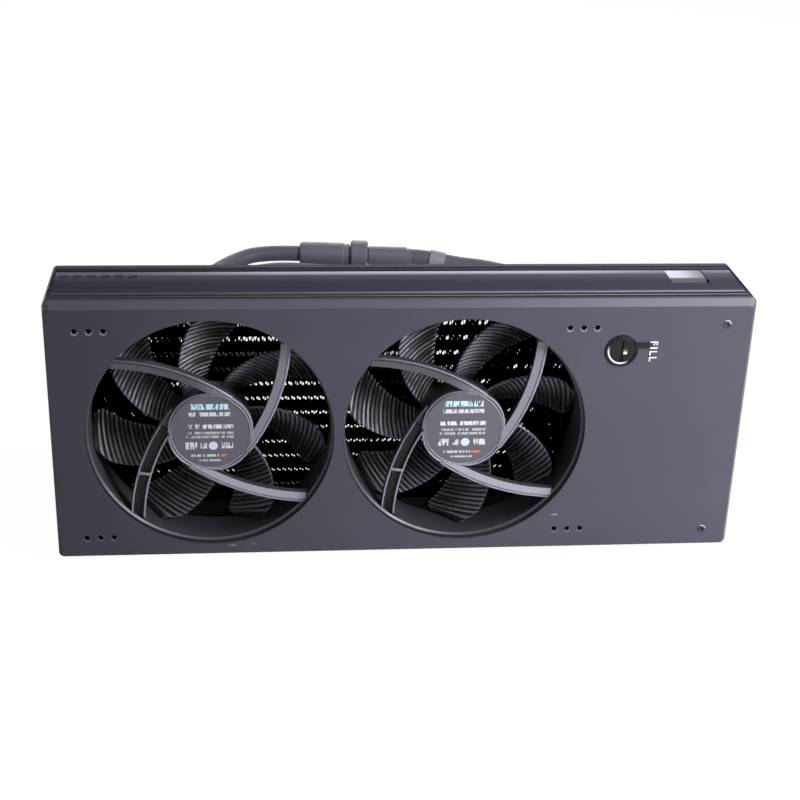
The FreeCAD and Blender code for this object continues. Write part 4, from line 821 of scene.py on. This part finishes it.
def makeRotor(number):
    centreX, rest = places["fanCentres"][number - 1], fan["restAngles"][number - 1]
    centre = (centreX, 0, places["fanHeight"])
    first = makeBlade(centreX, rest)
    blades = [first]
    for i in range(1, fan["blades"]):
        twin = copyPiece(first, "blade" + str(i))
        turnPiece(twin, -360 / fan["blades"] * i, centre)
        blades.append(twin)
    front, radius = fan["front"] + cup["front"], fan["hubRadius"]
    inside, rear = front + cup["inside"], front + cup["rear"]
    profile = [(radius - cup["wall"], front), (radius - cup["lip"], front), (radius, front + cup["lip"]),
               (radius, front + cup["side"]), (radius - cup["round"], rear), (axisGap, rear),
               (axisGap, inside), (radius - cup["wall"], inside), (radius - cup["wall"], front)]
    points = [(centreX + r, y, places["fanHeight"]) for r, y in profile]
    hub = spinPoints("cup", points, centre, (0, 1, 0), cup["steps"], -360)
    rotor = joinPieces([hub] + blades, "rotorDressed" + str(number))
    smooth(rotor, 50)
    finish = makeBladePlastic(centreX, rest, "bladePlastic" + str(number))
    finishPiece(rotor, finish, "fan_" + str(number) + "_rotor")
    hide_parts("fan_rotor_" + str(number))


# Struts: each follows an arc about a centre beside its fan's axis, and its sections are pairs of outwards
# and depth from that arc. Angles are in degrees
strut = {"centre": (-57.49, -73.14), "radius": 114.6, "start": 87.3, "end": 53.5, "channelEnd": 58.5,
         "turns": (0, -90, -180), "channelTurn": -270, "front": -24.9, "channelWidth": 7.8,
         "vane": ((-2.8, 0.4), (-2.8, -0.03), (-2.6, -0.06), (0.9, -1.12), (1.15, -0.35), (1.6, -0.35),
                  (1.75, -1.0), (2.35, -1.05), (2.78, -0.6), (2.78, 0.4)),
         "wall": ((-0.55, 0.4), (-0.55, -0.1), (-0.35, -0.5), (0.3, -0.5), (0.55, -0.2), (0.55, 0.4)),
         "wallHalf": 0.55, "labelRadius": 22.3, "labelDepths": (-4, 3),
         "lobe": {"radius": 21.5, "offset": 2.6, "angle": 45.0, "span": (100, -6)},
         "rim": ((-1.15, 0.3), (-1.15, -0.25), (-0.9, -0.5), (-0.3, -0.5), (-0.06, -0.2), (-0.06, 0.3)),
         "labelRim": ((21.45, 0.4), (21.45, -0.2), (21.65, -0.42), (22.0, -0.42), (22.2, -0.2), (22.2, 0.4)),
         "pin": ((axisGap, -0.9), (0.7, -0.9), (0.85, -0.7), (0.85, 0.3)),
         "pins": ((84, 24.6), (-11, 23.4), (-103, 23.6)),
         "clip": {"low": (-3.6, -0.75, -0.7), "high": (3.6, 0.0, 0.7), "edge": 0.25, "angle": 214,
                  "along": 44.4, "turn": 8},
         "vaneSteps": 48, "wallSteps": 40, "rimSteps": 30, "roundSteps": 96, "pinSteps": 16}


def sweepSection(name, number, section, centre, radius, start, end, turn, steps):
    # a closed section spun round an arc of the fan's own plane
    fanX = places["fanCentres"][number - 1]
    middleX = fanX + centre[0]
    middleZ = places["fanHeight"] + centre[1]
    points = []
    for out, depth in section + section[:1]:
        r = radius + out
        points.append((middleX + r * math.cos(math.radians(start)), strut["front"] + depth,
                       middleZ + r * math.sin(math.radians(start))))
    piece = spinPoints(name, points, (middleX, 0, middleZ), (0, 1, 0), steps, end - start)
    editAll(piece)
    bpy.ops.mesh.select_all(action="DESELECT")
    bpy.ops.mesh.select_non_manifold()
    bpy.ops.mesh.edge_face_add()
    bpy.ops.mesh.select_all(action="SELECT")
    bpy.ops.mesh.normals_make_consistent(inside=False)
    toObjectMode()
    if turn:
        turnPiece(piece, -turn, (fanX, 0, places["fanHeight"]))
    return piece


def outwards(degrees):
    # one step away from the fan's axis in its plane
    angle = math.radians(degrees)
    return Vector((math.cos(angle), 0, math.sin(angle)))


def makeClip(middle):
    # holds the leads in their channel
    clip = strut["clip"]
    piece = blockPiece("clip", clip["low"], clip["high"])
    bevelEdges(piece, clip["edge"])
    place = middle + outwards(clip["angle"]) * clip["along"]
    turn = Matrix.Rotation(math.radians(clip["turn"]), 4, "Y")
    piece.data.transform(Matrix.Translation(place * mm) @ turn)
    return piece


def makeStruts(number):
    parts = []
    middle = Vector((places["fanCentres"][number - 1], strut["front"], places["fanHeight"]))
    for turn in strut["turns"]:
        vane = sweepSection("vane", number, strut["vane"], strut["centre"], strut["radius"],
                            strut["start"], strut["end"], turn, strut["vaneSteps"])
        cutDrum(vane, strut["labelRadius"], *strut["labelDepths"], middle, strut["roundSteps"])
        parts.append(vane)
    half = strut["channelWidth"] / 2
    for side in (-1, 1):
        radius = strut["radius"] + side * (half - strut["wallHalf"])
        parts.append(sweepSection("wall", number, strut["wall"], strut["centre"], radius, strut["start"],
                                  strut["channelEnd"], strut["channelTurn"], strut["wallSteps"]))
    lobe = strut["lobe"]
    angle = math.radians(lobe["angle"])
    centre = (lobe["offset"] * math.cos(angle), lobe["offset"] * math.sin(angle))
    for turn in strut["turns"] + (strut["channelTurn"],):
        parts.append(sweepSection("rim", number, strut["rim"], centre, lobe["radius"], *lobe["span"], turn,
                                  strut["rimSteps"]))
    parts.append(sweepSection("labelRim", number, strut["labelRim"], (0, 0), 0, 360, 0, 0,
                              strut["roundSteps"]))
    # pins on the hub's rim
    for angle, along in strut["pins"]:
        parts.append(turnedPiece("pin", strut["pin"], middle + outwards(angle) * along,
                                 strut["pinSteps"]))
    piece = joinPieces(parts + [makeClip(middle)], "strutRims" + str(number))
    smooth(piece, 40)
    finishPiece(piece, paintedLitStrutPlastic, "case")


leads = {"radius": 0.6, "depth": 2.6, "count": 4, "pitch": 1.25, "sides": 10, "setIn": 0.4}


def makeLeads(number):
    radius, sides = leads["radius"], leads["sides"]
    section = []
    for k in range(sides):
        angle = 2 * math.pi * k / sides
        section.append((radius * math.cos(angle), leads["depth"] + radius * math.sin(angle)))
    lines = []
    for i in range(leads["count"]):
        offset = (i - (leads["count"] - 1) / 2) * leads["pitch"]
        lines.append(sweepSection("lead", number, section, strut["centre"], strut["radius"] + offset,
                                  strut["start"] - leads["setIn"], strut["channelEnd"] + leads["setIn"],
                                  strut["channelTurn"], strut["vaneSteps"]))
    piece = joinPieces(lines, "roundLeads" + str(number))
    smooth(piece, 50)
    finishPiece(piece, leadSleeve, "case")
    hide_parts("fan_leads_" + str(number))


for number in (1, 2):
    makeRotor(number)
    makeStruts(number)
    makeLeads(number)
print("fans made")


# Fill word beside the port, reading from top to bottom
fillWord = {"text": "FILL", "size": 6.0, "place": (136.0, -30.03, 124.2), "stroke": 0.03, "spacing": 1.22,
            "roundness": 4}


def makeFillWord():
    deselect()
    bpy.ops.object.text_add()
    word = bpy.context.object
    word.data.body = fillWord["text"]
    word.data.size = fillWord["size"] * mm
    word.data.align_x = "CENTER"
    word.data.align_y = "CENTER"
    word.data.offset = fillWord["stroke"] * mm
    word.data.space_character = fillWord["spacing"]
    word.data.resolution_u = fillWord["roundness"]
    bpy.ops.object.convert(target="MESH")
    word = bpy.context.object
    upright = Matrix.Rotation(math.radians(90), 4, "X") @ Matrix.Rotation(math.radians(-90), 4, "Z")
    word.matrix_world = Matrix.Translation(Vector(fillWord["place"]) * mm) @ upright
    settle(word)
    word.name = "fillWord"
    finishPiece(word, letterWhite, "case")


makeFillWord()
print("word set")


# Lamps as power, place and size, and the light of the surroundings
lamps = {"key": (6.0, (0.52, -0.36, 0.36), 0.26), "left": (0.3, (-1.3, -1.0, 0.9), 0.9),
         "top": (4.2, (0.46, -0.24, 0.76), 0.34), "rear": (9.0, (0.15, 1.5, 0.75), 0.9)}
surroundings = {"target": (0, 0, 0.08), "dim": 0.12, "dimColour": (0.93, 0.93, 1.0, 1),
                "white": (1, 1, 1, 1)}


def makeLamp(name, power, place, size):
    light = bpy.data.lights.new(name, "AREA")
    light.energy = power
    light.shape = "SQUARE"
    light.size = size
    lamp = bpy.data.objects.new(name, light)
    bpy.context.scene.collection.objects.link(lamp)
    way = Vector(surroundings["target"]) - Vector(place)
    lamp.matrix_world = Matrix.Translation(Vector(place)) @ way.to_track_quat("-Z", "Y").to_matrix().to_4x4()


def makeSurroundings():
    # white where it is seen, mirrored or looked through, and dim as a light
    world = bpy.data.worlds.new("studioWorld")
    bpy.context.scene.world = world
    world.use_nodes = True
    world.node_tree.nodes.clear()
    graph = Graph(world.node_tree)
    seen, mirrored, through = (graph.add("ShaderNodeLightPath", output=ray)
                               for ray in ("Is Camera Ray", "Is Glossy Ray", "Is Transmission Ray"))
    share = seen.apply("MAXIMUM", mirrored).apply("MAXIMUM", through)
    dim = graph.add("ShaderNodeBackground", {}, {"Strength": surroundings["dim"],
                                                 "Color": surroundings["dimColour"]})
    white = graph.add("ShaderNodeBackground", {}, {"Strength": 1.0, "Color": surroundings["white"]})
    mix = graph.add("ShaderNodeMixShader", {}, {0: share, 1: dim, 2: white})
    out = graph.tree.nodes.new("ShaderNodeOutputWorld")
    graph.tree.links.new(mix.socket, out.inputs["Surface"])


# White floor that glows towards the camera
floor = {"size": 14, "place": (0, 0, -0.0004), "colour": (0.9, 0.9, 0.91, 1), "roughness": 0.9, "glow": 1.03,
         "glowShare": 0.95}


def makeFloor():
    deselect()
    bpy.ops.mesh.primitive_plane_add(size=floor["size"], location=floor["place"])
    plane = bpy.context.object
    plane.name = "floor"
    settle(plane)
    material = bpy.data.materials.new("floorWhite")
    material.use_nodes = True
    graph = Graph(material.node_tree)
    shader = graph.tree.nodes["Principled BSDF"]
    shader.inputs["Base Color"].default_value = floor["colour"]
    shader.inputs["Roughness"].default_value = floor["roughness"]
    shader.inputs["Specular IOR Level"].default_value = 0.0
    glow = graph.add("ShaderNodeEmission", {}, {"Strength": floor["glow"]})
    share = graph.add("ShaderNodeLightPath", output="Is Camera Ray") * floor["glowShare"]
    mix = graph.add("ShaderNodeMixShader", {}, {0: share, 1: Signal(graph, shader.outputs[0]), 2: glow})
    graph.tree.links.new(mix.socket, graph.tree.nodes["Material Output"].inputs["Surface"])
    plane.data.materials.append(material)


for name, (power, place, size) in lamps.items():
    makeLamp(name + "Light", power, place, size)
makeSurroundings()
makeFloor()
bpy.context.scene.view_settings.view_transform = "Standard"
print("studio lit")
